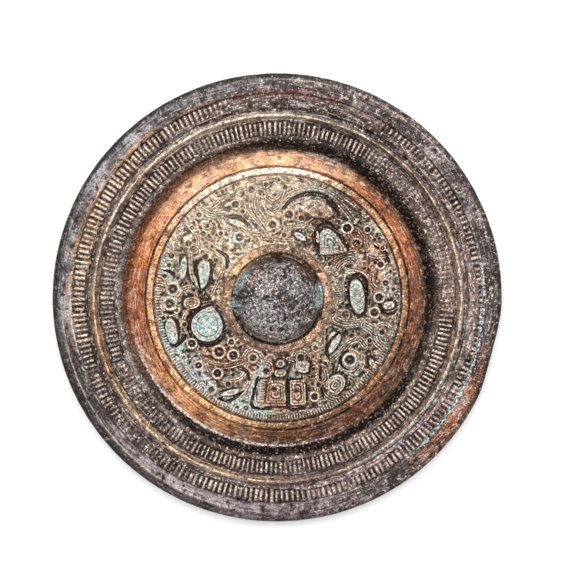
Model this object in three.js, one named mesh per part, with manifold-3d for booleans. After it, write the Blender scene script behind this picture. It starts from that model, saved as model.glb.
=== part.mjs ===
import * as THREE from 'three';
import { mergeVertices } from 'three/addons/utils/BufferGeometryUtils.js';
import Module from 'manifold-3d';

// A cast bronze mirror lying on its reflecting face, with its ornamented back upwards.
// Millimetres, +Z up. The origin is the centre of the flat face that it lies on, and the
// cord hole runs along X.

// Disc
const outerRadius = 70;
const plateThickness = 3; // from the reflecting face to the relief field
const footRound = 0.8; // edge of the reflecting face
const shoulderRound = 1.4; // outer edge of the rim
const edgeLoss = 1.3; // how far corrosion has eaten into the worn stretch of the edge
const edgeLossAt = 341; // degrees, the middle of that stretch
const edgeLossReach = 14; // degrees, from its middle to where it fades out

// Widths of the rings, from the rim inwards
const rimBandWidth = 5.9;
const rimLipWidth = 0.35; // the narrow slope from the rim band down to the outer comb
const outerCombWidth = 4.05;
const hollowWidth = 1.4;
const ridgeWidth = 2.3;
const crestWidth = 0.7; // the level top of the ridge
const ditchWidth = 0.8;
const innerCombWidth = 4.2;
const slopeWidth = 1.9;
const toothRunOut = 0.55; // from the inner ends of the teeth to where the metal is plain
const stepRun = 2.3;
const sunkBandWidth = 4.95;
const lineWidth = 0.65; // each of the two engraved lines
const filletWidth = 1.85; // the flat strip between the lines

// Heights of the rings, from the relief field upwards
const sunkBandDip = 0.15; // in the middle of the sunk band
const sunkBandEdge = 0.15; // where the band meets the first line
const filletRise = 0.3;
const lineDepth = 0.5;
const stepHeight = 2.9;
const slopeRise = 0.5;
const innerCombRise = 0.4;
const ridgeRise = 1.1;
const hollowRise = 0.25; // the hollow above the top of the inner comb
const combLift = 0.8; // the outer comb above the top of the inner one
const outerCombRise = 0.3;
const rimRise = 0.5;

// Comb rings
const outerTeeth = 236;
const innerTeeth = 224;
const toothDepth = 0.55;

// Knob, the plain ring round it, and the cord hole through it
const knobRadius = 13.5;
const knobHeight = 9.5; // above the relief field
const knobSide = 1.8; // height of its upright side, under the dome
const knobRingWidth = 3.2;
const knobRingRise = 0.5;
const knobDitchWidth = 0.7;
const ringSlope = 0.5; // width of the ring's two sloping sides
const holeWidth = 8;
const holeHeight = 5.2;
const holeArch = 2; // how far the round part of its roof rises
const holeSill = 1; // from the relief field up to the floor of the hole
const holeOverrun = 3; // how far the cutter passes the knob on each side

// Relief
const bossHeight = 0.9;
const bossPit = 0.6; // depth of the dimple in a ringed boss
const bossCrest = 0.58; // share of a boss's radius at which its ring is highest
const moundHeight = 0.8;
const moundEdgeHeight = 0.64; // where a mound's top turns down into its sides
const moundShoulder = 0.72; // share of a mound's radius at which it does so
const lineHeight = 0.6;
const lineBase = 0.95; // width of a raised line where it meets the field
const frameHeight = 0.5;
const frameWall = 1.3;
const frameCorner = 0.28; // corner radius as a share of the frame's smaller side
const reliefRoot = 0.4; // how far the relief reaches down into the plate

// Fineness of the facets
const rimSides = 60;
const knobSides = 36;
const bossSides = 8;
const moundSides = 12;
const domeSteps = 4;
const archSides = 8;
const lineStep = 2.6; // length of one straight stretch of a raised line

// Radii of the rings
const combOuter = outerRadius - rimBandWidth;
const outerCombStart = combOuter - rimLipWidth;
const outerCombEnd = outerCombStart - outerCombWidth;
const ridgeOuter = outerCombEnd - hollowWidth;
const ridgeInner = ridgeOuter - ridgeWidth;
const innerCombStart = ridgeInner - ditchWidth;
const innerCombEnd = innerCombStart - innerCombWidth;
const stepTop = innerCombEnd - slopeWidth;
const stepFoot = stepTop - stepRun;
const firstLine = stepFoot - sunkBandWidth;
const filletOuter = firstLine - lineWidth;
const filletInner = filletOuter - filletWidth;
const fieldOuter = filletInner - lineWidth;
const knobRingInner = knobRadius + knobDitchWidth;
const fieldInner = knobRingInner + knobRingWidth;

// Levels of the rings above the face
const field = plateThickness;
const slopeFoot = field + stepHeight;
const innerCombLow = slopeFoot + slopeRise;
const innerCombHigh = innerCombLow + innerCombRise;
const ridgeTop = innerCombHigh + ridgeRise;
const hollow = innerCombHigh + hollowRise;
const outerCombLow = innerCombHigh + combLift;
const outerCombHigh = outerCombLow + outerCombRise;
const rimTop = outerCombHigh + rimRise;

// How much of the edge is lost at an angle in degrees, from 0 for none to 1.
function lossAt(degrees) {
  const away = Math.abs(((degrees - edgeLossAt + 540) % 360) - 180);
  return away < edgeLossReach ? 0.5 + 0.5 * Math.cos((Math.PI * away) / edgeLossReach) : 0;
}

// One ring of points. A comb has two points to a tooth, and every second one lies lower.
function circle(radius, height, { count = rimSides, drop = 0, worn = false } = {}) {
  return Array.from({ length: count }, (unused, i) => {
    const angle = (2 * Math.PI * i) / count;
    const lost = worn ? edgeLoss * lossAt(THREE.MathUtils.radToDeg(angle)) : 0;
    const r = radius - lost;
    const z = height - (i % 2) * drop;
    return new THREE.Vector3(r * Math.cos(angle), r * Math.sin(angle), z);
  });
}

// A closed surface through rings of unlike counts, from the lower pole to the upper one.
function turned(rings) {
  const positions = [];
  const starts = [];
  for (const ring of rings) {
    starts.push(positions.length / 3);
    ring.forEach((point) => positions.push(...point.toArray()));
  }
  const index = [];
  for (let k = 0; k + 1 < rings.length; k += 1) {
    const below = rings[k].length;
    const above = rings[k + 1].length;
    let i = 0;
    let j = 0;
    while (i < below || j < above) {
      const a = starts[k] + (i % below);
      const b = starts[k + 1] + (j % above);
      if (j >= above || (i < below && (i + 1) * above <= (j + 1) * below)) {
        if (below > 1) index.push(a, starts[k] + ((i + 1) % below), b);
        i += 1;
      } else {
        if (above > 1) index.push(a, starts[k + 1] + ((j + 1) % above), b);
        j += 1;
      }
    }
  }
  const geometry = new THREE.BufferGeometry();
  geometry.setAttribute('position', new THREE.Float32BufferAttribute(positions, 3));
  geometry.setIndex(index);
  return geometry;
}

function comb(radius, height, teeth) {
  return circle(radius, height, { count: 2 * teeth, drop: toothDepth });
}

function discRings() {
  const worn = true;
  const midRound = shoulderRound * (1 - Math.SQRT1_2); // halfway round the shoulder
  const crestSlope = (ridgeWidth - crestWidth) / 2;
  const lineMiddle = lineWidth / 2;
  return [
    circle(0, 0, { count: 1 }),
    circle(outerRadius - footRound, 0, { worn }),
    circle(outerRadius, footRound, { worn }),
    circle(outerRadius, rimTop - shoulderRound, { worn }),
    circle(outerRadius - midRound, rimTop - midRound, { worn }),
    circle(outerRadius - shoulderRound, rimTop, { worn }),
    circle(combOuter, rimTop),
    comb(outerCombStart, outerCombHigh, outerTeeth),
    comb(outerCombEnd, outerCombLow, outerTeeth),
    circle(outerCombEnd - hollowWidth / 2, hollow),
    circle(ridgeOuter, hollow),
    circle(ridgeOuter - crestSlope, ridgeTop),
    circle(ridgeInner + crestSlope, ridgeTop),
    circle(ridgeInner, innerCombHigh - toothDepth),
    comb(innerCombStart, innerCombHigh, innerTeeth),
    comb(innerCombEnd, innerCombLow, innerTeeth),
    circle(innerCombEnd - toothRunOut, innerCombLow - toothDepth / 2),
    circle(stepTop, slopeFoot),
    circle(stepFoot, field),
    circle((stepFoot + firstLine) / 2, field - sunkBandDip),
    circle(firstLine, field + sunkBandEdge),
    circle(firstLine - lineMiddle, field - lineDepth),
    circle(filletOuter, field + filletRise),
    circle(filletInner, field + filletRise),
    circle(filletInner - lineMiddle, field - lineDepth),
    circle(fieldOuter, field),
    circle(fieldInner, field, { count: knobSides }),
    circle(fieldInner - ringSlope, field + knobRingRise, { count: knobSides }),
    circle(knobRingInner + ringSlope, field + knobRingRise, { count: knobSides }),
    circle(knobRingInner, field, { count: knobSides }),
    circle(knobRadius, field, { count: knobSides }),
    ...domeRings(),
  ];
}

// The knob's side and dome, up to its pole.
function domeRings() {
  const rise = knobHeight - knobSide;
  const rings = [];
  for (let k = 0; k < domeSteps; k += 1) {
    const turn = (k / domeSteps) * (Math.PI / 2);
    const height = field + knobSide + rise * Math.sin(turn);
    rings.push(circle(knobRadius * Math.cos(turn), height, { count: knobSides }));
  }
  rings.push(circle(0, field + knobHeight, { count: 1 }));
  return rings;
}

const wasm = await Module();
wasm.setup();

function solidOf(geometry) {
  const bare = geometry.clone();
  bare.deleteAttribute('normal');
  bare.deleteAttribute('uv');
  const merged = mergeVertices(bare, 1e-5);
  return new wasm.Manifold(
    new wasm.Mesh({
      numProp: 3,
      vertProperties: new Float32Array(merged.attributes.position.array),
      triVerts: new Uint32Array(merged.index.array),
    }),
  );
}

// The carving is laid out on a drawing of the field, in millimetres from the mirror's centre.
// A point of the drawing goes to the same share of the way across the field that is built.
const drawingInner = 17.4;
const drawingOuter = 38.85;
const drawingTurn = -5; // degrees, so that the drawing stands upright in the usual view

function onField(x, y) {
  const distance = Math.hypot(x, y);
  const share = (distance - drawingInner) / (drawingOuter - drawingInner);
  const reach = (fieldInner + share * (fieldOuter - fieldInner)) / distance;
  const turn = THREE.MathUtils.degToRad(drawingTurn);
  return new THREE.Vector2(x * reach, y * reach).rotateAround(new THREE.Vector2(), turn);
}

// A turned lump of unit radius, from pairs of radius and height that start at its rim.
function lump(profile, sides) {
  const points = [new THREE.Vector2(0, -reliefRoot), new THREE.Vector2(1, -reliefRoot)];
  profile.forEach(([r, height]) => points.push(new THREE.Vector2(r, height)));
  return new THREE.LatheGeometry(points, sides).rotateX(Math.PI / 2);
}

function setOnField(geometry, x, y, degrees = 0) {
  const place = onField(x, y);
  geometry.rotateZ(THREE.MathUtils.degToRad(degrees + drawingTurn));
  return geometry.translate(place.x, place.y, field);
}

function ringBoss([x, y, radius]) {
  const profile = [[1, 0], [bossCrest, bossHeight], [0, bossHeight - bossPit]];
  return setOnField(lump(profile, bossSides).scale(radius, radius, 1), x, y);
}

function mound([x, y, halfLength, halfWidth, degrees]) {
  const profile = [[1, 0], [moundShoulder, moundEdgeHeight], [0, moundHeight]];
  return setOnField(lump(profile, moundSides).scale(halfLength, halfWidth, 1), x, y, degrees);
}

// A raised line, roof-shaped in section, along a smooth curve through points of the drawing.
function line(...points) {
  const path = new THREE.CatmullRomCurve3(
    points.map(([x, y]) => {
      const place = onField(x, y);
      return new THREE.Vector3(place.x, place.y, field);
    }),
  );
  const section = new THREE.Shape([
    new THREE.Vector2(-lineHeight, 0),
    new THREE.Vector2(reliefRoot, -lineBase / 2),
    new THREE.Vector2(reliefRoot, lineBase / 2),
  ]);
  const steps = Math.max(2, Math.round(path.getLength() / lineStep));
  return new THREE.ExtrudeGeometry(section, { extrudePath: path, steps });
}

// Points round an arc of the drawing, for a line.
function arc(x, y, radius, from, to, count = 5) {
  return Array.from({ length: count }, (unused, i) => {
    const angle = THREE.MathUtils.degToRad(from + ((to - from) * i) / (count - 1));
    return [x + radius * Math.cos(angle), y + radius * Math.sin(angle)];
  });
}

// A raised frame with rounded corners.
function frame([x, y, width, height]) {
  const outline = (w, h) => {
    const r = frameCorner * Math.min(w, h);
    const points = [];
    for (const [side, up, from] of [[1, 1, 0], [-1, 1, 90], [-1, -1, 180], [1, -1, 270]]) {
      points.push(...arc(side * (w / 2 - r), up * (h / 2 - r), r, from, from + 90, 3));
    }
    return points.map(([px, py]) => new THREE.Vector2(px, py));
  };
  const shape = new THREE.Shape(outline(width, height));
  shape.holes.push(new THREE.Path(outline(width - 2 * frameWall, height - 2 * frameWall)));
  const depth = reliefRoot + frameHeight;
  const geometry = new THREE.ExtrudeGeometry(shape, { depth, bevelEnabled: false, steps: 1 });
  return setOnField(geometry.translate(0, 0, -reliefRoot), x, y);
}

// Ringed bosses: x, y, radius
const ringBosses = [
  [3.5, 26.5, 1.7], [21.8, 22.3, 1.8], [24.8, 17.5, 1.6], [28.2, 21.8, 1.2], [32, 0.5, 1.7],
  [30.5, -4.3, 1.7], [22.8, -19.3, 2.1], [12, -15.6, 1.1], [-3.7, -23, 1.6], [-10, -34.6, 1.3],
  [-21, -28.8, 1.6], [-19, -23.5, 1.7], [-25, -21, 1.5], [-18.5, -16.7, 2.1], [-14, -17.8, 1.8],
  [-27, -14, 1.6], [-34, -1.5, 2], [-33, 3.2, 2], [-28, 17.5, 1.4], [-23.3, 20.5, 1.2],
  [-12, 19.3, 1.7], [-12, 28.6, 1.6], [-7.7, 34, 1.4], [6.5, -29.3, 1.3], [-1.2, -29.2, 1.6],
];

// Smooth mounds: x, y, half length, half width, turn in degrees
const mounds = [
  [11.8, 28, 6.6, 3.6, -3], [17.4, 18.4, 4.6, 2.9, -52], [25, 1, 5.6, 2.2, -84],
  [35.1, -2, 2.2, 1.5, 8], [18.3, -15.8, 4.2, 1.6, 64], [18.7, -27.5, 3.5, 2.7, 40],
  [-21.6, -8.4, 5.5, 5.4, 0], [-33.4, -10.4, 4, 2.2, 72], [-22.8, 8.4, 4.9, 2.1, 80],
  [-29.6, 9.8, 4.4, 1.3, 84], [8, -21.4, 3, 2.2, -10], [0.9, -20.6, 2, 1.4, 10],
];

// Rounded frames: x, y, width, height
const frames = [[-1.3, -29.3, 9.4, 9.6], [6.6, -29.4, 5.8, 8.8]];

const lines = [
  line([-2.5, 25.6], [0.5, 29.7], [4.5, 33.2], [10, 34.6], [15.5, 33.2], [20.2, 29.3], [23.8, 24.8]),
  line([-0.6, 24.6], [1.8, 28.6], [5.4, 31.8], [10, 33], [14.9, 31.8], [18.8, 28.4], [22, 24.4]),
  line([-9.6, 31.4], [-8.6, 28], [-6.2, 24.8], [-3.2, 22.2]),
  line([-7.4, 31.6], [-6.8, 28.6], [-4.8, 25.8], [-2.6, 24]),
  line([-4.8, 31], [-3.2, 28], [-0.8, 28.4], [0.6, 31.6]),
  line(...arc(17, 18.6, 5.4, 160, 330, 6)),
  line([12.6, 24.6], [16.2, 24.2], [19.6, 21.4], [23.4, 15.4]),
  line([-21, 28.4], [-16, 31.6], [-11, 34]),
  line([-18, 25], [-13.5, 24.6], [-9, 22.6]),
  line([-19, 14.8], [-16.6, 11.6], [-18.4, 7], [-20.4, 3]),
  line([-35.4, 12], [-34.6, 9], [-35.6, 6], [-34.8, 3.4]),
  line([-30.4, -18.2], [-28, -22.6], [-24.6, -26]),
  line([-21.4, -20.4], [-16, -21.2], [-9.6, -19.4]),
  line([-9.4, -24.6], [-9.8, -28.6], [-13.4, -32.2]),
  line([-7.4, -24.4], [-7.2, -29], [-6.8, -34]),
  line([12.4, -24], [12, -29], [13.2, -34]),
  line([16.8, -19.8], [19.6, -17.2], [22.8, -13.8], [26, -13], [27.8, -15.6]),
  line([18.4, -8.2], [23, -9.2], [28, -9.2], [31.4, -12.6], [30.4, -17]),
  line(...arc(33.4, -10.2, 2.4, -60, 200, 6)),
  line([28.4, -22.6], [25.4, -26.8], [23, -30]),
  line([21.4, 8.4], [20.4, 3], [20.6, -4]),
  line([28.8, 9], [29.4, 3.4], [28.2, -3.4]),
  line([28.2, 17.8], [31, 14.4], [34.4, 11.4], [33.4, 6.8]),
];

function carving() {
  const shapes = [...ringBosses.map(ringBoss), ...mounds.map(mound), ...frames.map(frame)];
  return [...shapes, ...lines].map(solidOf);
}

// The cord hole has an arched roof over a level floor, and runs right through the knob.
function cordHole() {
  const half = holeWidth / 2;
  const arch = new THREE.EllipseCurve(0, holeHeight - holeArch, half, holeArch, 0, Math.PI);
  const outline = [new THREE.Vector2(-half, 0), new THREE.Vector2(half, 0)];
  const shape = new THREE.Shape([...outline, ...arch.getPoints(archSides)]);
  const depth = 2 * (knobRadius + holeOverrun);
  const geometry = new THREE.ExtrudeGeometry(shape, { depth, bevelEnabled: false, steps: 1 });
  geometry.translate(0, 0, -depth / 2).rotateX(Math.PI / 2).rotateZ(Math.PI / 2);
  return solidOf(geometry.translate(0, 0, field + holeSill));
}

function mirrorGeometry() {
  let solid = solidOf(turned(discRings()));
  for (const shape of carving()) {
    solid = solid.add(shape);
  }
  const mesh = solid.subtract(cordHole()).getMesh();
  const geometry = new THREE.BufferGeometry();
  geometry.setAttribute('position', new THREE.BufferAttribute(mesh.vertProperties, 3));
  geometry.setIndex(new THREE.BufferAttribute(mesh.triVerts, 1));
  geometry.computeVertexNormals();
  return geometry;
}

const patinatedBronze = new THREE.MeshStandardMaterial({
  color: 0x7a6558,
  roughness: 0.55,
  metalness: 0.8,
});

const mirror = new THREE.Mesh(mirrorGeometry(), patinatedBronze);
mirror.name = 'mirror';

const model = new THREE.Group();
model.add(mirror);

export default model;
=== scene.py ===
"""A cast bronze mirror that lies on its reflecting face, with the ornamented back upwards."""

import math

import bpy
import numpy as np
from bpy.props import FloatProperty, FloatVectorProperty, IntProperty, PointerProperty
from mathutils import Matrix, Vector


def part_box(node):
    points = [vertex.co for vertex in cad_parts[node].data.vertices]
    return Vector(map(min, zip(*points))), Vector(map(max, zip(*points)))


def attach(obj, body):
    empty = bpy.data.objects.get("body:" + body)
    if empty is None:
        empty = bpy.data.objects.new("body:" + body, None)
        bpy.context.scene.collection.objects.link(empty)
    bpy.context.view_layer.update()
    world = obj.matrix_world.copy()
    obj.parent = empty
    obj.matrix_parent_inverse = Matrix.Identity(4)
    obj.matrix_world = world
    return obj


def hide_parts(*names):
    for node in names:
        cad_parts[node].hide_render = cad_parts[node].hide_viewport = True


bl_info = {
    "name": "Cast bronze mirror",
    "version": (1, 0, 0),
    "blender": (4, 5, 0),
    "location": "3D View > Sidebar > Mirror",
    "description": "Builds an excavated bronze mirror, its patina and a plain stage",
    "category": "Add Mesh",
}

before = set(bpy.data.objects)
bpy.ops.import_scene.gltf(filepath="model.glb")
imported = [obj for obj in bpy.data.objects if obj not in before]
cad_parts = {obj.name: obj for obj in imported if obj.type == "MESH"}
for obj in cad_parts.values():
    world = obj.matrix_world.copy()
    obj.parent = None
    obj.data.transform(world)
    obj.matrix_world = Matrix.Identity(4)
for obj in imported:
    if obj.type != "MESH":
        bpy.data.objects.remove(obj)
NODE = "mirror"
LOW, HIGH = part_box(NODE)
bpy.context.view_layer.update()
MM = 1000.0  # millimetres in a metre


def length(name, default, description):
    """A size property, given in millimetres and kept in metres."""
    return FloatProperty(
        name=name, description=description, default=default / MM, min=0.0,
        unit="LENGTH", subtype="DISTANCE", precision=5,
    )


def linear(code):
    """Six hexadecimal digits of sRGB as scene-linear red, green and blue."""
    shares = [int(code[i:i + 2], 16) / 255 for i in (0, 2, 4)]
    return tuple(s / 12.92 if s <= 0.04045 else ((s + 0.055) / 1.055) ** 2.4 for s in shares)


def colour(name, code, description):
    """A colour property, from six hexadecimal digits of sRGB."""
    return FloatVectorProperty(
        name=name, description=description, default=linear(code),
        size=3, min=0.0, max=1.0, subtype="COLOR",
    )


class MirrorSizes(bpy.types.PropertyGroup):
    """Ring widths from the rim inwards, and heights from the relief field upwards."""

    plate: length("Plate", 3.0, "Thickness of the casting under the relief field")
    foot_round: length("Foot round", 0.8, "Rounding of the edge of the reflecting face")
    shoulder_round: length("Shoulder round", 1.4, "Rounding of the rim's outer edge")
    edge_loss: length("Edge loss", 0.9, "Depth that corrosion has eaten into the edge")
    edge_loss_at: FloatProperty(
        name="Edge loss at", description="Direction of the middle of the worn edge",
        default=math.radians(341), unit="ROTATION", subtype="ANGLE",
    )
    edge_loss_reach: FloatProperty(
        name="Edge loss reach", description="From the middle of the worn edge to its end",
        default=math.radians(14), unit="ROTATION", subtype="ANGLE",
    )
    rim_band: length("Rim band", 5.9, "Width of the plain band at the rim")
    rim_lip: length("Rim lip", 0.35, "Width of the slope from the rim band to the comb")
    outer_comb: length("Outer comb", 4.05, "Width of the outer comb ring")
    hollow: length("Hollow", 1.4, "Width of the hollow outside the ridge")
    ridge: length("Ridge", 2.3, "Width of the ring ridge")
    crest: length("Ridge crest", 0.7, "Width of the ridge's level top")
    ditch: length("Ditch", 0.8, "Width of the ditch inside the ridge")
    inner_comb: length("Inner comb", 4.2, "Width of the inner comb ring")
    slope: length("Slope", 1.9, "Width of the plain slope above the step")
    step_run: length("Step run", 2.3, "Width of the step's wall seen from above")
    sunk_band: length("Sunk band", 4.95, "Width of the sunk coppery band")
    line: length("Engraved line", 0.65, "Width of each engraved line")
    fillet: length("Fillet", 1.85, "Width of the flat strip between the lines")
    band_dip: length("Band dip", 0.15, "Dip in the middle of the sunk band")
    band_edge: length("Band edge", 0.15, "Height of the sunk band at the first line")
    fillet_rise: length("Fillet rise", 0.3, "Height of the fillet")
    line_depth: length("Line depth", 0.5, "Depth of the engraved lines under the field")
    step_height: length("Step height", 2.9, "Height of the step's wall")
    slope_rise: length("Slope rise", 0.5, "Rise of the slope above the step")
    inner_comb_rise: length("Inner comb rise", 0.4, "Rise across the inner comb ring")
    ridge_rise: length("Ridge rise", 1.1, "Height of the ridge above the inner comb")
    hollow_rise: length("Hollow rise", 0.25, "Height of the hollow above the inner comb")
    comb_lift: length("Comb lift", 0.8, "Height of the outer comb above the inner one")
    outer_comb_rise: length("Outer comb rise", 0.3, "Rise across the outer comb ring")
    rim_rise: length("Rim rise", 0.5, "Height of the rim band above the outer comb")
    knob_radius: length("Knob radius", 13.5, "Radius of the knob")
    knob_side: length("Knob side", 1.8, "Height of the knob's upright side")
    knob_ring: length("Knob ring", 3.2, "Width of the plain ring round the knob")
    knob_ring_rise: length("Knob ring rise", 0.5, "Height of the plain ring")
    knob_ditch: length("Knob ditch", 0.7, "Width of the ditch round the knob")
    ring_slope: length("Ring slope", 0.5, "Width of the plain ring's sloping sides")
    hole_width: length("Hole width", 8.0, "Width of the cord hole")
    hole_height: length("Hole height", 5.2, "Height of the cord hole")
    hole_arch: length("Hole arch", 2.0, "Rise of the round part of the hole's roof")
    hole_sill: length("Hole sill", 1.0, "Height of the hole's floor above the field")
    tooth_depth: length("Tooth depth", 0.55, "Depth of the gaps between the teeth")
    outer_teeth: IntProperty(
        name="Outer teeth", description="Teeth in the outer comb ring", default=236, min=12,
    )
    inner_teeth: IntProperty(
        name="Inner teeth", description="Teeth in the inner comb ring", default=224, min=12,
    )


class MirrorRelief(bpy.types.PropertyGroup):
    """Depths of the carving, and of what corrosion has done to the skin."""

    thread: length("Thread", 0.42, "Height of a raised thread")
    thread_pitch: length("Thread pitch", 0.85, "Distance between the threads inside a mound")
    boss: length("Boss", 0.55, "Height of a ringed boss")
    boss_pit: length("Boss pit", 0.5, "Depth of the pit in a boss, and of a sunk dot")
    moat: length("Moat", 0.35, "Depth of the groove round a motif")
    swirl: FloatProperty(
        name="Swirl", description="Threads to each fold of the ground between the motifs",
        default=2.6, min=0.0,
    )
    border_ticks: IntProperty(
        name="Border ticks", description="Ticks all round the edge of the field",
        default=264, min=12,
    )
    crust: length("Crust", 0.09, "Unevenness of the corroded skin")
    pitting: length("Pitting", 0.26, "Depth of the corrosion pits")


class MirrorFinish(bpy.types.PropertyGroup):
    """Colours of the metal, of its patina and of what lies on it."""

    rim: colour("Rim", "5c5150", "Crust on the rim band")
    # Laid as painted shade on the rim's rounded shoulder and outer edge, and as the darkest specks on the
    # knob
    rim_edge: colour("Rim edge", "1f1b1b", "Dark outer edge")
    comb: colour("Combs", "7d6b64", "Comb rings")
    hollow: colour("Hollow", "55453f", "Hollows and ditches beside the ridge")
    ridge: colour("Ridge", "cdb5a0", "Ring ridge")
    slope: colour("Slope", "6b5a51", "Plain slope above the step")
    step: colour("Step", "38261f", "Wall of the step")
    copper: colour("Copper", "a5683f", "Rubbed coppery band")
    fillet: colour("Fillet", "bf9673", "Flat strip between the engraved lines")
    engraved: colour("Engraved lines", "33251f", "Bottom of the engraved lines")
    field: colour("Field", "a5968a", "Carved field")
    knob_ring: colour("Knob ring", "a98a74", "Plain ring round the knob")
    knob: colour("Knob", "655d5c", "Knob")
    # Dark for dirt in the grooves, and also painted shade: shadow bands, shaded sides and the shade in
    # recesses
    dirt: colour("Dirt", "251615", "Dirt in the grooves")
    # Also laid as painted highlights: thin bright lines on the rim's shoulder and the knob's lower edge, and
    # pale flecks over the upper part inside the step
    crest: colour("Crests", "e6d6c6", "Rubbed crests of the carving and the teeth")
    verdigris: colour("Verdigris", "84a39c", "Pale green-blue copper salts")
    mauve: colour("Mauve", "a08a91", "Mauve oxide on the lower part of the rim")
    ash: colour("Ash", "8f9093", "Pale grey crust on the upper part of the rim")
    ember: colour("Ember", "9c6547", "Copper showing through at the rim")
    pale: colour("Pale crust", "b3adac", "Pale mineral crust on the rim and the knob")
    # Also laid as painted light: a sheen on the rim's left side, a thin bright line on the rim's shoulder
    # and the knob's paler lower half
    earth: colour("Earth", "9c6c45", "Warm brown metal and earth on parts of the carving")
    olive: colour("Olive", "8b9080", "Grey-green film on parts of the field")
    # Also laid as painted highlights along some edges, which are partly pale salts
    salt: colour("Salt", "c2cacb", "Palest salts of the corroded bronze")
    cream: colour("Cream", "c8b8a2", "Pale film on the upper left of the carving")
    wine: colour("Wine", "3c2328", "Dark red-brown film at the lower left")
    rust: colour("Rust", "74382a", "Dark red oxide beside the outer comb")
    # Also laid as a painted sheen on the copper band's upper left
    gold: colour("Gold", "dbb184", "Rubbed golden bronze along the ridge")
    face: colour("Face", "5c5650", "Tarnished reflecting face")


class MirrorStage(bpy.types.PropertyGroup):
    """Camera, floor and lights."""

    distance: length("Distance", 400, "From the camera to the middle of the mirror")
    tilt: FloatProperty(
        name="Tilt", description="How far the camera leans from upright",
        default=math.radians(4), unit="ROTATION", subtype="ANGLE",
    )
    lean: FloatProperty(
        name="Lean", description="How far the camera stands to the left of the top",
        default=math.radians(16), unit="ROTATION", subtype="ANGLE",
    )
    view_width: length("View width", 176.4, "What the picture takes in at the mirror")
    shift_x: FloatProperty(name="Shift across", description="Camera shift across", default=0.0082)
    shift_y: FloatProperty(name="Shift up", description="Camera shift upwards", default=0.0331)
    floor: colour("Floor", "fbfbfc", "Plain pale floor")


class Millimetres:
    """A property group's lengths in millimetres, and its other values as they are."""

    def __init__(self, group):
        for name in type(group).__annotations__:
            in_metres = group.bl_rna.properties[name].unit == "LENGTH"
            setattr(self, name, getattr(group, name) * (MM if in_metres else 1))


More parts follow.
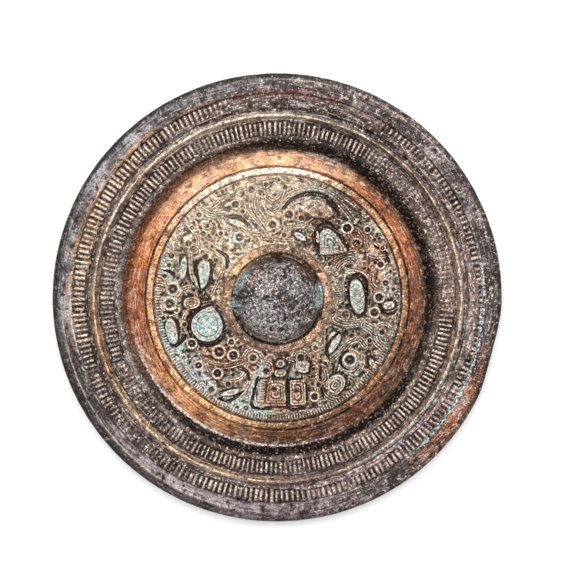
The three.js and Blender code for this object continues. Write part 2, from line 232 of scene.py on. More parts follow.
class Section(Millimetres):
    """Radii and heights of the rings in millimetres, worked out from the sizes."""

    def __init__(self, sizes):
        super().__init__(sizes)
        self.radius = HIGH.x * MM
        self.knob_top = HIGH.z * MM
        self.comb_outer = self.radius - self.rim_band
        self.outer_start = self.comb_outer - self.rim_lip
        self.outer_end = self.outer_start - self.outer_comb
        self.ridge_outer = self.outer_end - self.hollow
        self.ridge_inner = self.ridge_outer - self.ridge
        self.inner_start = self.ridge_inner - self.ditch
        self.inner_end = self.inner_start - self.inner_comb
        self.step_top = self.inner_end - self.slope
        self.step_foot = self.step_top - self.step_run
        self.first_line = self.step_foot - self.sunk_band
        self.fillet_outer = self.first_line - self.line
        self.fillet_inner = self.fillet_outer - self.fillet
        self.field_outer = self.fillet_inner - self.line
        self.ring_inner = self.knob_radius + self.knob_ditch
        self.field_inner = self.ring_inner + self.knob_ring
        self.field = self.plate
        self.slope_foot = self.field + self.step_height
        self.inner_low = self.slope_foot + self.slope_rise
        self.inner_high = self.inner_low + self.inner_comb_rise
        self.ridge_top = self.inner_high + self.ridge_rise
        self.hollow_level = self.inner_high + self.hollow_rise
        self.outer_low = self.inner_high + self.comb_lift
        self.outer_high = self.outer_low + self.outer_comb_rise
        self.rim_top = self.outer_high + self.rim_rise

    def corners(self):
        """Corners of the half section as radius, height and rounding, from the face up."""
        crest_slope = (self.ridge - self.crest) / 2
        half_line = self.line / 2
        engraved = self.field - self.line_depth
        fillet = self.field + self.fillet_rise
        ring = self.field + self.knob_ring_rise
        return [
            (0, 0, 0),
            (self.radius - self.foot_round, 0, 0.8),
            (self.radius, self.foot_round, 0.8),
            (self.radius, self.rim_top, self.shoulder_round),
            (self.comb_outer, self.rim_top, 0.35),
            (self.outer_start, self.outer_high, 0.1),
            (self.outer_end, self.outer_low, 0.3),
            (self.outer_end - self.hollow / 2, self.hollow_level, 0.5),
            (self.ridge_outer, self.hollow_level, 0.3),
            (self.ridge_outer - crest_slope, self.ridge_top, 0.5),
            (self.ridge_inner + crest_slope, self.ridge_top, 0.5),
            (self.ridge_inner, self.inner_high - self.tooth_depth, 0.3),
            (self.inner_start, self.inner_high, 0.1),
            (self.inner_end, self.inner_low, 0.3),
            (self.step_top, self.slope_foot, 0.8),
            (self.step_foot, self.field, 1.0),
            ((self.step_foot + self.first_line) / 2, self.field - self.band_dip, 1.5),
            (self.first_line, self.field + self.band_edge, 0.15),
            (self.first_line - half_line, engraved, 0.2),
            (self.fillet_outer, fillet, 0.2),
            (self.fillet_inner, fillet, 0.2),
            (self.fillet_inner - half_line, engraved, 0.2),
            (self.field_outer, self.field, 0.15),
            (self.field_inner, self.field, 0.3),
            (self.field_inner - self.ring_slope, ring, 0.4),
            (self.ring_inner + self.ring_slope, ring, 0.4),
            (self.ring_inner, self.field, 0.3),
            (self.knob_radius, self.field, 0.3),
        ]

    def spacing(self, radius, height):
        """Length of one stretch of the profile near a point."""
        if height < self.foot_round / 2:
            return 2.0
        if self.field_inner < radius < self.field_outer:
            return 0.24
        return 0.45 if radius > self.comb_outer else 0.33

    def profile(self):
        """The rounded half section, from the pole of the face to the top of the knob."""
        corners = self.corners()
        points = [corners[0][:2]]
        for before, (radius, height, round_), after in zip(corners, corners[1:], corners[2:]):
            here = np.array((radius, height))
            back = np.array(before[:2]) - here
            ahead = np.array(after[:2]) - here
            cut = min(round_, np.linalg.norm(back) / 2, np.linalg.norm(ahead) / 2)
            start = here + back / np.linalg.norm(back) * cut
            end = here + ahead / np.linalg.norm(ahead) * cut
            for share in np.linspace(0, 1, 5):
                bow = start * (1 - share) ** 2 + 2 * here * share * (1 - share) + end * share ** 2
                points.append(tuple(bow))
        rise = self.knob_top - self.field - self.knob_side
        points.append((self.knob_radius, self.field))
        for share in np.linspace(0, 1, 40):
            turn = share * math.pi / 2
            height = self.field + self.knob_side + rise * math.sin(turn)
            points.append((self.knob_radius * math.cos(turn), height))
        return self.stretched(points)

    def stretched(self, points):
        """Points along the same line, no further apart than the spacing there."""
        dense = [points[0]]
        for before, after in zip(points, points[1:]):
            gap = math.dist(before, after)
            if gap < 1e-6:
                continue
            count = max(1, math.ceil(gap / self.spacing(*after)))
            for k in range(1, count + 1):
                dense.append(tuple(np.array(before) + (np.array(after) - before) * k / count))
        return dense

    def edge_wear(self, angle):
        """How far the edge is eaten away at an angle, in millimetres."""
        away = np.abs((angle - self.edge_loss_at + math.pi) % (2 * math.pi) - math.pi)
        bowl = 0.5 + 0.5 * np.cos(np.minimum(away / self.edge_loss_reach, 1) * math.pi)
        return self.edge_loss * bowl


def noise(points, scale, seed):
    """Smooth random values from -1 to 1 at rows of x, y, z, with lumps about scale wide."""
    cell = points / scale
    base = np.floor(cell).astype(np.int64)
    part = cell - base
    ease = part * part * (3 - 2 * part)
    total = np.zeros(len(points))
    for corner in np.ndindex(2, 2, 2):
        node = base + np.array(corner)
        mixed = node[:, 0] * 73856093 ^ node[:, 1] * 19349663 ^ node[:, 2] * 83492791
        mixed = (mixed ^ seed * 2654435761) & 0xFFFFFFFF
        mixed = ((mixed ^ mixed >> 15) * 2246822519) & 0xFFFFFFFF
        mixed = ((mixed ^ mixed >> 13) * 3266489917) & 0xFFFFFFFF
        value = (mixed ^ mixed >> 16 & 0xFFFF) % 65536 / 32767.5 - 1
        weight = np.prod(np.where(corner, ease, 1 - ease), axis=1)
        total += weight * value
    return total


def fractal(points, scale, seed, octaves=3):
    """Noise with finer and fainter lumps laid over it."""
    total = np.zeros(len(points))
    for k in range(octaves):
        total += noise(points, scale / 2 ** k, seed + k) / 2 ** k
    return total / 1.6


def smooth(low, high, value):
    """0 below low, 1 above high, and an easy rise between them."""
    share = np.clip((value - low) / (high - low), 0, 1)
    return share * share * (3 - 2 * share)


def curve(points, step=0.3):
    """Points about step apart along a smooth curve through the given ones."""
    if len(points) < 3:
        return np.linspace(points[0], points[-1], max(2, int(math.dist(*points) / step)))
    first = np.array(points[0]) * 2 - np.array(points[1])
    last = np.array(points[-1]) * 2 - np.array(points[-2])
    knots = [first, *map(np.array, points), last]
    dense = []
    for a, b, c, d in zip(knots, knots[1:], knots[2:], knots[3:]):
        count = max(2, int(np.linalg.norm(c - b) / step))
        for t in np.linspace(0, 1, count, endpoint=False):
            pull = (c - a) * t + (2 * a - 5 * b + 4 * c - d) * t ** 2
            dense.append(b + (pull + (3 * b - a - 3 * c + d) * t ** 3) / 2)
    return np.array(dense + [knots[-2]])


def arc(x, y, radius, start, end, count=7):
    """Points round part of a circle of the drawing, between two directions in degrees."""
    turns = np.radians(np.linspace(start, end, count))
    return [(x + radius * math.cos(t), y + radius * math.sin(t)) for t in turns]


# The carving is laid out on a drawing of the field, in millimetres from the mirror's centre,
# which is turned so that it stands upright in the usual view.
DRAWING_TURN = math.radians(-5)

# Ringed bosses: x, y, radius
RINGED = [
    (3.5, 26.5, 1.7), (21.8, 22.3, 1.8), (24.8, 17.5, 1.6), (28.2, 21.8, 1.2), (32, 0.5, 1.7),
    (30.5, -4.3, 1.7), (22.8, -19.3, 2.1), (12, -15.6, 1.1), (-3.7, -23, 1.6), (-10, -34.6, 1.3),
    (-21, -28.8, 1.6), (-19, -23.5, 1.7), (-25, -21, 1.5), (-18.5, -16.7, 2.1), (-14, -17.8, 1.8),
    (-27, -14, 1.6), (-34, -1.5, 2.0), (-33, 3.2, 2.0), (-28, 17.5, 1.4), (-23.3, 20.5, 1.2),
    (-12, 19.3, 1.7), (-13.2, 29.7, 1.5), (-8.2, 34.2, 1.6), (-1.6, 23.3, 1.7),
    (-3.6, 35.8, 1.0), (2.4, 34.9, 1.1), (7.4, 25.4, 1.2), (2, 20, 1.0),
    (-11, 27.4, 1.0), (-14.6, -13.6, 1.3), (-31.8, -3.6, 0.9), (-7.8, -18.6, 1.5),
    (-24.6, 26.4, 1.2), (-22, 23, 0.9), (-26.8, 22.4, 0.9), (-23.6, 14.6, 1.0), (-17.8, 20.6, 1.0),
    (-33.4, 13.6, 1.3), (-34.2, 10.6, 1.1), (-35.4, 7.2, 1.0), (33, -10.6, 1.2), (7.4, -18.6, 1.5),
    (0.9, -20.4, 1.1), (11.6, -31, 1.5), (12.9, -27.2, 1.1), (28.8, -27, 1.2), (24.4, -30.2, 1.0),
    (34, 5, 1.3), (32.4, 10.8, 1.4), (33, 16, 0.9), (30.4, 18.6, 0.8), (36.6, 3, 0.9),
    (29, -13.2, 1.0), (-29.6, -18.6, 1.0), (-15.6, -27, 1.1), (-31, -23.4, 1.1), (-36, -6, 0.9),
    (15, -20.4, 0.9), (-29.4, -8, 1.0), (-19.4, 12.2, 0.9),
]

# Small sunk dots: x, y, radius
PITS = [
    (-1.1, -28.6, 0.9), (5.9, -29.3, 0.8), (13.4, -19.9, 0.7), (11.3, -22.3, 0.65), (-21, 24.4, 0.5),
    (32, 19, 0.45), (16.3, 11, 0.6), (31.3, 20.3, 0.4), (-20.6, 16.4, 0.5),
    (21.4, 5, 0.5), (21.7, 3.7, 0.5), (21.6, 2, 0.5),
    (20.5, -1.6, 0.55), (1.4, 21.9, 0.45), (-1.2, 21.4, 0.5), (0.4, 37.2, 0.4), (-5.4, 32.9, 0.4),
    (-14, -24, 0.6), (-26.4, 2.9, 0.5), (-25, 5.9, 0.5), (-27.6, -1, 0.4), (-12.8, -34.4, 0.6),
    (35.6, 8.6, 0.5), (27.4, 9.6, 0.5), (30.6, 11.4, 0.5), (-8.8, -21.8, 0.5), (15.4, -29, 0.6),
    (-22.6, 13.4, 0.9), (-31.4, 6.6, 0.5), (-16.8, -31.6, 0.4), (23.8, -10.4, 0.5),
]

# Mounds: x, y, half length, half width, turn in degrees, squareness, height, threads inside
MOUNDS = [
    (25.1, 0.7, 6.0, 2.6, -82, 2.3, 0.85, 1), (35.1, -2, 2.2, 1.5, 8, 2.4, 0.8, 1),
    (18.2, -27.3, 4.0, 3.0, 50, 2.2, 0.6, 3),
    (-33.4, -10.0, 4.6, 2.0, 100, 2.2, 0.5, 1),
    (-23.6, 7.8, 5.0, 2.4, 78, 2.6, 0.8, 1), (-29.6, 9.8, 4.4, 1.3, 84, 2.2, 0.6, 1),
    (8, -21.4, 3.0, 2.2, -10, 2.1, 0.6, 1), (0.9, -20.6, 2.0, 1.4, 10, 2.1, 0.5, 1),
    (-27, -1.2, 3.0, 2.2, 10, 2.2, 0.5, 2), (-18.4, 9.6, 4.6, 1.7, 68, 2.2, 0.45, 1),
    (7, 19.6, 2.7, 1.2, -32, 1.6, 0.55, 1), (-15.4, 29.8, 2.0, 0.9, 26, 1.8, 0.5, 0),
    (-12.6, 23.8, 3.6, 1.2, -18, 1.8, 0.5, 1), (-14.8, -29.6, 3.9, 1.1, 14, 1.8, 0.45, 1),
    (0.8, -23.4, 2.3, 1.5, 0, 2.2, 0.5, 1), (-28, 19, 2.2, 1.6, 30, 2.2, 0.4, 0),
    (24.6, 24.6, 1.7, 1.0, 48, 2.0, 0.5, 0), (31.6, 13.6, 2.6, 1.2, -34, 2.0, 0.5, 1),
    (30.2, -20.8, 2.6, 1.2, -60, 2.0, 0.5, 1), (12.4, 19.4, 1.4, 2.4, 0, 2.0, 0.45, 0),
]

# Raised plates: rounding of the corners, height, lines along the edge, corners anticlockwise
PLATES = [
    (0.9, 0.5, 0, [(6.2, 26.8), (10.4, 25), (17.2, 24.6), (18.8, 26.8), (16.9, 30.2), (13.4, 32.2),
                   (9.6, 32.2), (6.8, 30.6)]),
    (0.5, 0.7, 4, [(12.9, 13.4), (22.8, 14.4), (18.8, 20.8), (15.6, 22.9), (12.9, 21.4)]),
    (0.3, 0.3, 0, [(28.4, 13.6), (33.8, 13.6), (28.6, 19.8)]),
    (0.4, 0.6, 3, [(15.9, -18.8), (19.6, -14.6), (20.6, -11.4), (17.4, -9.6), (15.4, -12)]),
    (0.5, 0.8, 2, arc(-22.2, -8.4, 5.7, 118, 402, 12) + [(-20.2, -1.4)]),
    (0.3, 0.25, 1, [(-7.2, -34.2), (3.2, -34.2), (2.8, -25.2), (-5.6, -25.2)]),
    (0.3, 0.3, 4, [(-4.0, -33.2), (2.8, -33.2), (2.4, -25.7), (-3.2, -25.7)]),
    (0.3, 0.35, 3, [(3.8, -34), (9.3, -33.8), (8.9, -25.4), (3.5, -25.4)]),
]

# Bands of raised threads: how many, how far apart, and points along the middle
THREADS = [
    (3, 0.8, [(-2.8, 25), (0.2, 28.9), (4.2, 32.8), (9.8, 34.4), (15.4, 33.2), (20, 29.4), (24, 24.4)]),
    (1, 0.8, [(23.5, 3), (25, 1.8), (26.6, 3)]), (1, 0.8, [(23.6, 1.4), (25.2, 0.2), (27, 1.4)]),
    (1, 0.8, [(23.8, -0.2), (25.4, -1.4), (27.1, -0.2)]), (1, 0.8, [(24.1, -1.8), (25.7, -3), (27.2, -1.8)]),
    (1, 0.8, [(24.5, -3.3), (25.9, -4.4), (27, -3.4)]),
    (4, 0.85, [(-7.6, 31.8), (-7.4, 28.8), (-5.6, 25.8), (-3.3, 22.6)]),
    (1, 0.9, [(-10.6, 31.6), (-9.8, 28.2), (-7.4, 24.9), (-4.2, 21.6)]),
    (2, 0.8, [(-4.6, 30.6), (-3, 27.4), (-1.6, 26.4)]),
    (3, 0.8, [(-3.2, 32), (-1.4, 30.9), (0.4, 31.8), (1.2, 33.4)]),
    (2, 0.8, [(-3, 29.2), (-1.4, 28.4), (0, 29.2)]),
    (1, 0.9, [(20.6, 20.4), (22.6, 17.4), (24.4, 14.4)]),
    (2, 0.8, [(14.4, 14.8), (16.8, 14.4), (18.6, 14.9), (20.6, 14)]),
    (2, 0.9, [(22.6, 20.2), (24, 18.2), (24.4, 15.2), (23, 14.8)]),
    (2, 0.8, [(25.6, 21.4), (27.4, 18.6), (28.2, 15.4)]),
    (2, 0.8, [(29.2, 19.4), (32, 16.6), (34.4, 14.6)]),
    (2, 0.8, [(28.6, 14), (31, 13.2), (34.4, 13.6)]),
    (3, 0.75, [(17, 11.6), (19.6, 13), (23, 13.6)]),
    (3, 0.75, [(18.2, 8), (19.4, 10.8), (22.6, 12.6), (24.4, 12.2)]),
    (2, 0.75, [(18.6, 6.4), (18.2, 2.6), (18.5, -2.6)]),
    (1, 0.9, [(21.6, 9.2), (20.7, 4), (20.9, -3)]),
    (2, 0.85, [(22.4, 8.6), (24.6, 8.6), (27.6, 7), (29, 3), (28.9, -2)]),
    (2, 0.8, [(30, 9.6), (29.6, 5.4), (31.2, 3.4), (33.6, 2.8)]),
    (2, 0.8, [(35.4, 9.6), (35.6, 6), (36, 1.4)]),
    (3, 0.8, [(18.2, -6.4), (21, -7.6), (24.4, -7.4), (28.4, -6.9)]),
    (4, 0.8, [(27.6, -8.4), (30.4, -10.4), (31.2, -13.2), (33.4, -15.4)]),
    (3, 0.75, [(16.8, -19.4), (19.6, -16.9), (22.7, -13.7), (25.9, -12.9), (27.6, -14.8)]),
    (2, 0.8, arc(33.4, -10.4, 2.6, -70, 190)),
    (2, 0.8, arc(22.8, -19.4, 3.2, -150, 60)),
    (2, 0.85, [(27, -18.2), (26.8, -21), (25, -23.6)]),
    (3, 0.8, arc(18.9, -27.2, 4.9, 150, 300)),
    (2, 0.8, [(29.6, -22.2), (27, -26.2), (23.8, -29.4)]),
    (2, 0.8, [(21.6, -31.4), (17.6, -33.4), (14.4, -34.4)]),
    (2, 0.8, [(12.6, -24), (12.2, -28), (13.4, -33.6)]),
    (3, 0.75, [(-8.3, -25), (-8.2, -29), (-7.3, -33.6), (-3.4, -36.2)]),
    (2, 0.8, [(-3.2, -36), (2, -36.5), (8.4, -35.8)]),
    (2, 0.8, [(-9, -26.4), (-10.8, -29.2), (-14, -32.6)]),
    (2, 0.8, [(-17, -26), (-12.4, -25.4), (-9.8, -23)]),
    (3, 0.75, [(-21.4, -20.3), (-16, -21.1), (-9.6, -19.3)]),
    (2, 0.8, arc(-7.8, -18.7, 2.9, 10, 190)),
    (2, 0.8, [(-24.6, -17.6), (-22.6, -20.4), (-21.6, -23)]),
    (2, 0.8, [(-30.4, -18), (-28, -22.6), (-24.4, -26.2)]),
    (2, 0.8, [(-33.8, -16.4), (-31.6, -20.6)]),
    (2, 0.75, [(-28.2, -3.6), (-29.6, -6.4), (-28.6, -10.6)]),
    (2, 0.8, arc(-34, -1.6, 3.2, 190, 330)),
    (2, 0.8, [(-31.6, 1.2), (-29.6, 3.4), (-26.8, 3.8), (-25.6, 0.8)]),
    (2, 0.8, [(-31.8, 14.2), (-31.4, 9), (-31.6, 4.4)]),
    (2, 0.8, [(-27.4, 14.4), (-27.2, 9), (-26.4, 6)]),
    (2, 0.8, arc(-33.6, 12, 2.8, 90, 280)),
    (2, 0.8, arc(-35, 6.2, 1.9, 90, 290)),
    (2, 0.8, [(-20, 15), (-17.2, 12.6), (-17.2, 9), (-19, 5.4), (-20.8, 1.4)]),
    (3, 0.75, [(-24, 28.2), (-20.6, 26.4), (-16.4, 26.6)]),
    (2, 0.85, [(-20.6, 28.8), (-16.4, 31.8), (-10.6, 34.6)]),
    (2, 0.8, [(-16.6, 22.6), (-13.6, 21.6), (-9.6, 20.8), (-5.4, 20.4)]),
    (2, 0.8, arc(-12, 19.4, 2.9, 20, 170)),
    (2, 0.8, [(-28.6, 24), (-25.6, 20), (-25, 16.6)]),
    (2, 0.8, [(-31.6, 19.8), (-31.2, 16.4)]),
    (2, 0.8, [(4.2, 22.6), (8.4, 22.8), (11.6, 21.6), (12.6, 18.2)]),
    (2, 0.8, [(-4.6, 19.2), (0, 18.9), (4.6, 18.6)]),
    (2, 0.8, [(-8.6, 36.2), (-2, 37.4), (4.4, 36.9)]),
    (1, 0.9, [(18.8, 32.6), (23.4, 29.6), (27.4, 25.6)]),
    (2, 0.8, [(3.2, -18.9), (5.4, -19.6), (5.2, -22.4)]),
    (2, 0.8, arc(7.4, -18.7, 2.7, -40, 160)),
    (2, 0.8, [(-4.8, -19.6), (-2.4, -20.6), (-1.8, -23)]),
    (2, 0.8, [(15.2, -22.8), (15.6, -25.4), (13.8, -27)]),
]

# Deep grooves: width and points along the middle
GROOVES = [
    (1.5, [(1.6, 28.4), (4.2, 31.1), (7.6, 32.7), (11.2, 33.1), (14.8, 32.1), (17.7, 29.8), (19.4, 26.2)]),
    (0.7, arc(-22.2, -8.6, 6.1, 200, 350)), (0.5, arc(-22.2, -8.4, 6.2, 110, 200)),
    (0.7, [(22, 3), (22.8, 6.4), (25.2, 7.8), (27.8, 5.6), (28.4, 1)]),
    (0.9, arc(35, -2, 2.9, 150, 330)), (0.9, [(-6.2, -24.8), (-7.6, -30), (-7.8, -34.2), (-2, -35)]),
    (0.8, [(16.4, -19.4), (15.6, -16.2), (17, -12.8), (19.4, -10.6)]),
    (0.9, [(-16.6, 25.9), (-12.6, 25.9), (-9.2, 23.6)]), (1.0, [(-19, -31.6), (-15, -32.2), (-11, -29.2)]),
    (0.9, [(-12.6, -21.4), (-9.8, -23), (-9, -25.8)]), (0.8, arc(-33.4, -10.4, 4.4, 250, 350)),
    (0.9, [(-25.6, 12), (-25.4, 8), (-24.4, 3.4)]), (0.9, [(-19.2, 15.4), (-16, 13.2), (-16, 9.6)]),
    (0.8, [(3.1, -25), (3.5, -29.6), (3.5, -34.6), (8.6, -34.8)]),
    (0.5, [(19.2, 21.4), (15.4, 23.9), (11.9, 21.6), (12.1, 17)]),
    (0.8, [(-35.6, 9), (-33.6, 8.6), (-32.4, 7)]), (0.9, [(13.6, -22), (13.4, -26), (14.4, -31)]),
    (0.8, [(9, -18), (10.6, -20.6), (9.6, -23.8)]), (0.9, [(-31.4, -2.4), (-33, -4.2), (-35.6, -4)]),
    (0.8, arc(22.8, -19.4, 3.0, 100, 260)), (0.8, [(30.4, 16.6), (33.6, 15), (35, 11.4)]),
]

# Patches of fine ticks: x, y, half length, half width, turn in degrees, distance apart
HATCHES = [
    (2.8, 22.2, 1.9, 0.9, 0, 0.7), (15.6, 14.9, 1.6, 2.2, 90, 0.75), (25.2, 26.4, 1.5, 0.9, 50, 0.6),
    (-31.6, 18.4, 1.6, 0.9, 70, 0.6), (-5.4, -29.8, 3.4, 0.9, 90, 0.85), (3, -37, 3, 0.7, 0, 0.75),
    (19, 2.4, 2.6, 0.8, 92, 0.7), (-33, -16.6, 1.5, 0.9, 60, 0.7), (34.2, -19, 2.2, 0.8, -62, 0.7),
    (29.4, -31, 2.4, 0.8, -45, 0.7), (-17, 35.2, 2.2, 0.7, 24, 0.7), (9.4, -25.8, 1.2, 0.7, 0, 0.6),
]


def turned(east, north, angle):
    """The same offsets measured along a direction and across it, to its left."""
    c, s = math.cos(angle), math.sin(angle)
    return east * c + north * s, north * c - east * s


class Carving:
    """Relief over points of the drawing, in millimetres, laid on motif by motif."""

    def __init__(self, x, y, relief):
        self.x = x
        self.y = y
        self.relief = relief
        self.level = np.zeros(len(x))
        self.detail = np.zeros(len(x))
        self.cover = np.zeros(len(x))
        self.rows = np.column_stack((x, y, np.zeros(len(x))))

    def near(self, points, reach):
        """Which points lie within reach of a box round the given ones."""
        low = np.min(points, axis=0) - reach
        high = np.max(points, axis=0) + reach
        inside = (self.x > low[0]) & (self.x < high[0]) & (self.y > low[1]) & (self.y < high[1])
        return np.nonzero(inside)[0]

    def near_round(self, x, y, radius, reach):
        """The points near a round motif, and how many of its radii they lie from its middle."""
        near = self.near([(x, y)], radius * reach)
        return near, np.hypot(self.x[near] - x, self.y[near] - y) / radius

    def near_line(self, points, reach, ends=1.0):
        """The points near a line and their distance from it, which ends below 1 stretch there."""
        line = curve(points)
        near = self.near(line, reach)
        here = np.column_stack((self.x[near], self.y[near]))
        away = np.full(len(near), np.inf)
        for k, point in enumerate(line):
            width = ends + (1 - ends) * math.sin(math.pi * k / (len(line) - 1))
            np.minimum(away, np.hypot(*(here - point).T) / width, out=away)
        return near, away

    def lay(self, near, weight, value):
        """Lays detail over what is there, as far as its weight says."""
        self.detail[near] += (value - self.detail[near]) * weight
        self.cover[near] = np.maximum(self.cover[near], weight)

    def contours(self, count, depth):
        """Threads that follow an edge, at points so many threads deep inside it."""
        waves = 0.5 - 0.5 * np.cos(2 * math.pi * depth)
        waves = np.where((depth > 0) & (depth < count + 0.5), waves - 0.6, 0)
        return self.relief.thread * 1.1 * waves

    def ringed_boss(self, x, y, radius):
        """A cupped boss. The ring round it is worn more or less, by where it stands."""
        near, away = self.near_round(x, y, radius, 1.6)
        sharp = 0.3 + 0.7 * math.sin(5.1 * x + 3.7 * y) ** 2
        ring = self.relief.boss * sharp * np.exp(-(((away - 0.9) / 0.26) ** 2))
        cup = self.relief.boss_pit * (0.5 + 0.5 * sharp) * smooth(0.95, 0.4, away)
        bead = self.relief.boss_pit * sharp * np.exp(-((away / 0.26) ** 2))
        self.lay(near, smooth(1.45, 1.0, away), ring - cup + bead)

    def pit(self, x, y, radius):
        """A sunk dot with a low lip."""
        near, away = self.near_round(x, y, radius, 2)
        lip = 0.35 * np.exp(-(((away - 1.25) / 0.25) ** 2))
        self.lay(near, smooth(1.7, 1.2, away), self.relief.boss_pit * (lip - np.exp(-(away ** 2))))

    def mound(self, x, y, long, wide, turn, power, height, threads):
        """An oval mound in a moat. A higher power makes it squarer."""
        near = self.near([(x, y)], max(long, wide) + 1.2)
        along, across = turned(self.x[near] - x, self.y[near] - y, math.radians(turn))
        away = ((np.abs(along) / long) ** power + (np.abs(across) / wide) ** power) ** (1 / power)
        width = min(long, wide)
        lift = height * smooth(1.0, 1.0 - 0.75 / width, away)
        self.level[near] = np.maximum(self.level[near], lift)
        moat = self.relief.moat * np.exp(-(((away - 1) * width / 0.28 - 0.9) ** 2))
        inner = (1 - away) * width / self.relief.thread_pitch
        self.lay(near, smooth(1 + 0.5 / width, 1 + 0.15 / width, away), self.contours(threads, inner) - moat)

    def plate(self, rounding, height, threads, corners):
        """A raised plate inside corners that go anticlockwise, with lines along its edge."""
        near = self.near(corners, 1.2)
        east, north = self.x[near], self.y[near]
        total = np.zeros(len(near))
        for (x, y), (next_x, next_y) in zip(corners, corners[1:] + corners[:1]):
            side = math.dist((x, y), (next_x, next_y))
            out = ((east - x) * (next_y - y) - (north - y) * (next_x - x)) / side
            total += np.exp(np.clip(out / rounding, -30, 30))
        away = rounding * np.log(total)
        lift = height * smooth(0, -0.7, away)
        self.level[near] = np.maximum(self.level[near], lift)
        if threads == 0:
            grain = noise(self.rows[near], 1.1, 17) + noise(self.rows[near], 2.6, 18)
            self.lay(near, smooth(0.3, -0.3, away), self.relief.thread * (0.45 * grain - 0.25))
            return
        moat = self.relief.moat * np.exp(-(((away - 0.25) / 0.3) ** 2))
        inner = -away / self.relief.thread_pitch
        self.lay(near, smooth(0.5, 0.15, away), self.contours(threads, inner) - moat)

    def threads(self, count, pitch, points):
        """A band of raised threads side by side along a line."""
        half = count * pitch / 2
        near, away = self.near_line(points, half + 0.5)
        phase = away / pitch + (0.5 if count % 2 == 0 else 0)
        wave = 0.5 + 0.5 * np.cos(2 * math.pi * phase)
        self.lay(near, smooth(half + 0.3, half, away), self.relief.thread * (wave * 1.25 - 0.35))

    def groove(self, width, points):
        """A deep groove along a line, narrower at its ends."""
        near, away = self.near_line(points, width, ends=0.45)
        cut = smooth(width / 2 + 0.25, width / 4, away)
        self.lay(near, cut, -1.5 * self.relief.thread)
        self.level[near] *= 1 - cut

    def hatch(self, x, y, long, wide, turn, pitch):
        """A patch of fine ticks across its length."""
        near = self.near([(x, y)], long + 0.5)
        along, across = turned(self.x[near] - x, self.y[near] - y, math.radians(turn))
        wave = np.cos(2 * math.pi * along / pitch)
        weight = smooth(long + 0.2, long - 0.2, np.abs(along))
        weight = weight * smooth(wide + 0.2, wide - 0.1, np.abs(across))
        self.lay(near, weight, self.relief.thread * 0.55 * wave)

    def border(self):
        """Short ticks at the edge of the field, where they haven't worn away."""
        radius = np.hypot(self.x, self.y)
        angle = np.arctan2(self.y, self.x)
        near = np.nonzero((radius > 36.5) & (radius < 39))[0]
        kept = smooth(-0.35, 0.15, np.cos(angle[near] - math.radians(245)))
        weight = smooth(36.7, 37.1, radius[near]) * smooth(38.8, 38.5, radius[near]) * kept
        wave = np.cos(angle[near] * self.relief.border_ticks)
        self.lay(near, weight, self.relief.thread * (0.55 * wave + 0.2))

    def ground(self):
        """The fine threads and grain between the motifs."""
        swirl = noise(self.rows, 5.5, 11) + 0.35 * noise(self.rows, 2.4, 12)
        threads = np.cos(2 * math.pi * swirl * self.relief.swirl)
        grain = 0.6 * noise(self.rows, 0.9, 13) + 0.4 * noise(self.rows, 0.45, 14)
        return self.relief.thread * (0.36 * threads + 0.5 * grain - 0.3)

    def heights(self):
        """The whole relief at every point."""
        motifs = ((self.mound, MOUNDS), (self.plate, PLATES), (self.threads, THREADS),
                  (self.hatch, HATCHES), (self.groove, GROOVES), (self.ringed_boss, RINGED),
                  (self.pit, PITS))
        for carve, rows in motifs:
            for row in rows:
                carve(*row)
        self.border()
        grain = self.relief.thread * 0.16 * noise(self.rows, 0.6, 15)
        return self.level + self.detail + (1 - self.cover) * self.ground() + grain


# Where the teeth have worn: middle and spread in degrees on the drawing, how much of their
# height is left, and the share of their length that has gone from the inner end.
OUTER_WEAR = [(84, 28, 0.2, 0), (22, 46, 1.0, 0.5), (-18, 26, 0.9, 0.3), (225, 28, 0.7, 0.1),
              (290, 16, 0.7, 0.2)]
INNER_WEAR = [(26, 36, 0.22, 0), (190, 40, 0.65, 0), (222, 22, 0.6, 0)]


